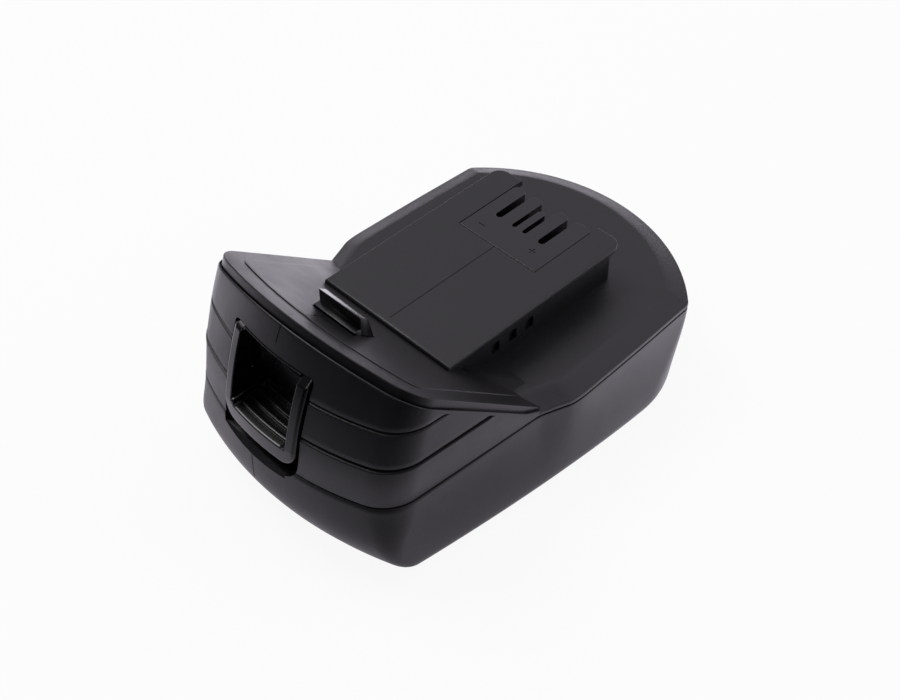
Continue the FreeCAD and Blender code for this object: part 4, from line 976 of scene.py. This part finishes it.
def hook_meshes():
    """The hook that stands up through the hood, and the low ledge in front of it."""
    tall = [(-36.8, 40.0), over_hood(-36.8, -2.0), over_hood(-36.9, 5.95),
            over_hood(-34.9, 5.95), over_hood(-34.3, 5.55), over_hood(-32.9, 0.2),
            over_hood(-32.9, -2.0), (-32.9, 40.0)]
    low = [(-38.8, 45.0), (-38.8, 53.12), (-36.6, 53.02), (-36.6, 45.0)]
    return [bevelled(prism("hook", tall, 0, *HOOK_SIDES), 0.13),
            bevelled(prism("ledge", low, 0, *HOOK_SIDES), 0.14)]


class BATTERY_OT_release_latch(bpy.types.Operator):
    """Builds the button with its scoop and ribs, the arm and the hook"""
    bl_idname = "battery.release_latch"
    bl_label = "Release latch"

    def execute(self, context):
        sizes, colours = settings()
        finish = moulded_plastic("latch_plastic", colours.latch, 0.26, 0.004, 0.35, gloss=0.5)
        # Painted light: a copy of the latch plastic twenty times lighter stands in for light
        # falling on the scoop's shelf, ribs and fence; its rougher grain is the plastic's own
        grip_with_painted_light = moulded_plastic("grip_plastic_painted_light", shade(colours.latch, 20.0), 0.50, 0.03, 0.3,
                                  gloss=0.5)
        outline = rounded_box(-HALF, HALF, LOW_Z, TOP_Z, CORNER, 1.3, 14)
        button = carve(button_mesh(), [button_prism("outline", outline, -40.0)], "INTERSECT")
        skirt = block("skirt", LATCH_X - SKIRT_HALF, LATCH_X + SKIRT_HALF, *SKIRT_Y, *SKIRT_Z)
        arm = block("arm", LATCH_X - ARM_HALF, LATCH_X + ARM_HALF, *ARM_Y, *ARM_Z)
        smooth = [button, skirt, bevelled(arm, 0.4)]
        # The fence and the ribs take the lighter copy, which is painted light
        rough = [fence_mesh(), grip_ribs(finish, sizes)]
        hook = hook_meshes()
        marks = [0 for piece in smooth for _ in piece.polygons]
        marks += [1 for piece in rough for _ in piece.polygons]
        marks += [0 for piece in hook for _ in piece.polygons]
        mesh = joined("latch", smooth + rough + hook)
        x, y, z = (np.array([face.center for face in mesh.polygons]) / MM).T
        # Faces on the scoop's shelf take the lighter copy as well: painted light
        shelf = ((np.abs(x - LATCH_X) < HALF - FRAME) & (y > -62.0) & (y < -51.4)
                 & (z > LOW_Z + 4.9) & (z < LOW_Z + 6.2))
        mesh.polygons.foreach_set("material_index", np.where(shelf, 1, marks))
        finished("latch_skin", mesh, [finish, grip_with_painted_light], "latch",
                 "release_latch", 50.0)
        return {"FINISHED"}


class BATTERY_OT_inner_finishes(bpy.types.Operator):
    """Gives the pieces inside and the fasteners their finishes"""
    bl_idname = "battery.inner_finishes"
    bl_label = "Inner finishes"

    DRESSED = ("lower_shell", "upper_housing", "terminal_block", "release_latch")
    SPRINGS = ("latch_spring_left", "latch_spring_right")

    def execute(self, context):
        rules = self.rules()
        for node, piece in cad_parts.items():
            if node not in self.DRESSED:
                piece.data.materials.clear()
                piece.data.materials.append(
                    next(finish for start, finish in rules if node.startswith(start)))
        for node in self.SPRINGS:
            coil = placed(node + "_coil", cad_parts[node].data.copy())
            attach(coil, "pack")
            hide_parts(node)
            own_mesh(coil)
        return {"FINISHED"}

    def rules(self):
        """The start of a node's name and its finish; the first that fits is taken."""
        spring = metal("spring_wire", (0.55, 0.55, 0.56), 0.35, (1.0, 1.0, 8.0))
        nickel = metal("nickel_strip", (0.62, 0.60, 0.55), 0.38, (1.0, 6.0, 1.0))
        brass = metal("contact_brass", (0.72, 0.56, 0.30), 0.32, (6.0, 1.0, 1.0))
        screw = metal("black_zinc", (0.16, 0.16, 0.17), 0.40, (1.0, 1.0, 4.0))
        sleeve = moulded_plastic("cell_sleeve", (0.006, 0.007, 0.010), 0.40, 0.010, 0.8, dust=0.0)
        carrier = moulded_plastic("carrier_plastic", (0.03,) * 3, 0.55, 0.03, 0.3, dust=0.0)
        chip = moulded_plastic("chip_plastic", (0.012,) * 3, 0.35, 0.006, 0.15, dust=0.0)
        card = sheet_good("fibre_card", (0.62, 0.60, 0.54), (0.72, 0.70, 0.66), 700, 0.8, 0.03)
        foam = sheet_good("foam", (0.02,) * 3, (0.06,) * 3, 2400, 0.9, 0.2)
        board = sheet_good("board_laminate", (0.01, 0.10, 0.035), (0.015, 0.14, 0.05), 300, 0.4,
                           0.01)
        return (
            ("latch_spring", spring), ("latch_bracket", carrier), ("cell_carrier", carrier),
            ("cell_insulators", card), ("cell_", sleeve), ("strip_", nickel), ("foam_pad", foam),
            ("insulating_card", card), ("thermistor", chip), ("circuit_board", board),
            ("board_screws", screw), ("bracket_screws", screw), ("case_screws", screw),
            ("board_", chip), ("terminal_", brass),
        )


# Camera, lights and backdrop
AZIMUTH, ELEVATION = math.radians(44.95), math.radians(45.43)
FOCAL_PX, PHOTO_PX, SENSOR = 1600.0, 900, 36.0
DISTANCE, SHIFT_X, SHIFT_Y, AIM = 393.9, 0.6, 18.04, (0.0, -0.7, 41.5)  # millimetres
FLOOR_HALF, FLOOR_TOP, FLOOR_BOTTOM = 3000, -0.02, -20
WHITE, VIOLET = (1.0, 1.0, 1.0, 1.0), (1.0, 0.955, 1.07, 1.0)
LAMPS = (  # name, place and size in metres, power in watts
    ("back_softbox", (-0.45, 0.95, 0.42), (0.7, 0.25), 0.35),
    ("edge_softbox", (-0.55, -0.12, 0.95), (0.50, 0.50), 4.5),
    ("front_softbox", (0.36, -0.96, 0.66), (0.25, 0.25), 1.2),
    ("side_softbox", (1.05, 0.67, 0.51), (0.25, 0.25), 2.4),
)
LAMP_TARGET = (0.0, 0.0, 0.03)
# Painted light: bands in which the floor glows for glossy rays
FLOOR_BANDS = (  # direction across the floor, start and end in metres, strength
    ((-0.5, 0.87, 0.0), -0.20, 0.02, 1.05),
    ((0.7, 0.7, 0.0), 0.03, 0.12, 1.0),
    ((-1.0, 0.5, 0.0), 0.04, 0.13, 1.7),
)
TO_THE_BACK, TO_THE_RIGHT = (-0.45, 0.72, 0.53), (0.30, 0.50, 0.82)


def lamp(name, place, size, power):
    data = bpy.data.lights.new(name, "AREA")
    data.shape, data.size, data.size_y = "RECTANGLE", *size
    data.energy = power
    light = placed(name, data)
    light.location = Vector(place)
    light.rotation_mode = "QUATERNION"
    light.rotation_quaternion = (Vector(LAMP_TARGET) - light.location).to_track_quat("-Z", "Y")


def floor_material():
    """Pale for the camera, with the object's shadow; for glossy rays it glows in painted bands of
    light, dimmer far off, which the part mirrors.
    """
    look = Look(bpy.data.materials.new("pale_floor"))
    rays = look.node("ShaderNodeLightPath")
    glossy = look.read(rays, "Is Glossy Ray")
    lit = 0.03
    for direction, start, end, strength in FLOOR_BANDS:
        lit = look.band(look.dot(direction), start, end) * strength + lit
    lit = lit * (1 - look.band(look.dot((1.0, -0.5, 0.0)), 0.075, 0.13) * 0.6)
    away = look.node("ShaderNodeVectorMath", {"operation": "LENGTH"}, i0=look.place)
    lit = lit * (1 - look.band(look.read(away, "Value"), 0.20, 0.45) * 0.85)
    seen = look.read(rays, "Is Camera Ray") + look.read(rays, "Is Transmission Ray")
    paint = look.node("ShaderNodeBsdfDiffuse", Color=(0.8, 0.8, 0.8, 1.0))
    glow = look.node("ShaderNodeEmission", Color=look.tint(glossy, WHITE, VIOLET),
                     Strength=lit * glossy + (1 - glossy))
    look.close(look.mix(seen * 0.92 + glossy, paint, glow))
    return look.owner


def studio(scene):
    """A white room for the camera; a softer one, dim towards the front, lights the part."""
    look = Look(bpy.data.worlds.new("studio"), "Generated")
    scene.world = look.owner
    rays = look.node("ShaderNodeLightPath")
    glow = look.band(look.dot(TO_THE_BACK), 0.0, 0.85)
    above = look.band(look.dot((0.0, 0.0, 1.0)), -0.05, 0.75)
    patch = look.band(look.dot(TO_THE_RIGHT), 0.84, 1.0)
    strength = glow * (above * 0.52 + 0.25) + above * 0.05 + patch * 0.6 + 0.02
    seen = look.math("MAXIMUM", look.read(rays, "Is Camera Ray"),
                     look.read(rays, "Is Transmission Ray"))
    room = look.node("ShaderNodeBackground", Color=VIOLET, Strength=strength)
    white = look.node("ShaderNodeBackground", Color=WHITE, Strength=1.0)
    look.close(look.mix(seen, room, white), "ShaderNodeOutputWorld")


def photo_camera():
    """A camera at the photograph's angle and distance."""
    ca, sa = math.cos(AZIMUTH), math.sin(AZIMUTH)
    ce, se = math.cos(ELEVATION), math.sin(ELEVATION)
    right, up = Vector((ca, sa, 0.0)), Vector((-sa * se, ca * se, ce))
    back = Vector((sa * ce, -ca * ce, se))
    data = bpy.data.cameras.new("camera")
    data.sensor_width, data.lens = SENSOR, FOCAL_PX / PHOTO_PX * SENSOR
    camera = placed("camera", data)
    spot = back * DISTANCE - right * SHIFT_X - up * SHIFT_Y + Vector(AIM)
    turn = Matrix((right, up, back)).transposed().to_4x4()
    camera.matrix_world = Matrix.Translation(spot * MM) @ turn
    return camera


class BATTERY_OT_stage(bpy.types.Operator):
    """Sets up the pale floor, the studio light and the camera"""
    bl_idname = "battery.stage"
    bl_label = "Stage"

    def execute(self, context):
        scene = context.scene
        mesh = block("floor", -FLOOR_HALF, FLOOR_HALF, -FLOOR_HALF, FLOOR_HALF, FLOOR_BOTTOM,
                     FLOOR_TOP)
        floor = placed("floor", mesh)
        mesh.materials.append(floor_material())
        studio(scene)
        for row in LAMPS:
            lamp(*row)
        scene.view_settings.view_transform = "Standard"
        scene.camera = photo_camera()
        return {"FINISHED"}


STEPS = (BATTERY_OT_lower_shell, BATTERY_OT_upper_housing, BATTERY_OT_terminal_block,
         BATTERY_OT_release_latch, BATTERY_OT_inner_finishes, BATTERY_OT_stage)


class BATTERY_PT_panel(bpy.types.Panel):
    """Sizes, colours and building steps"""
    bl_idname = "BATTERY_PT_panel"
    bl_label = "Tool battery"
    bl_space_type = "VIEW_3D"
    bl_region_type = "UI"
    bl_category = "Battery"

    def draw(self, context):
        for group in settings():
            for name in group.bl_rna.properties.keys():
                if name not in ("rna_type", "name"):
                    self.layout.prop(group, name)
        for step in STEPS:
            self.layout.operator(step.bl_idname)


CLASSES = (BatterySizes, BatteryColours) + STEPS + (BATTERY_PT_panel,)


def register():
    for each in CLASSES:
        bpy.utils.register_class(each)
    bpy.types.Scene.battery_sizes = bpy.props.PointerProperty(type=BatterySizes)
    bpy.types.Scene.battery_colours = bpy.props.PointerProperty(type=BatteryColours)


def unregister():
    del bpy.types.Scene.battery_colours
    del bpy.types.Scene.battery_sizes
    for each in reversed(CLASSES):
        bpy.utils.unregister_class(each)


def main():
    register()
    for step in STEPS:
        group, name = step.bl_idname.split(".")
        getattr(getattr(bpy.ops, group), name)()


if __name__ == "__main__":
    main()
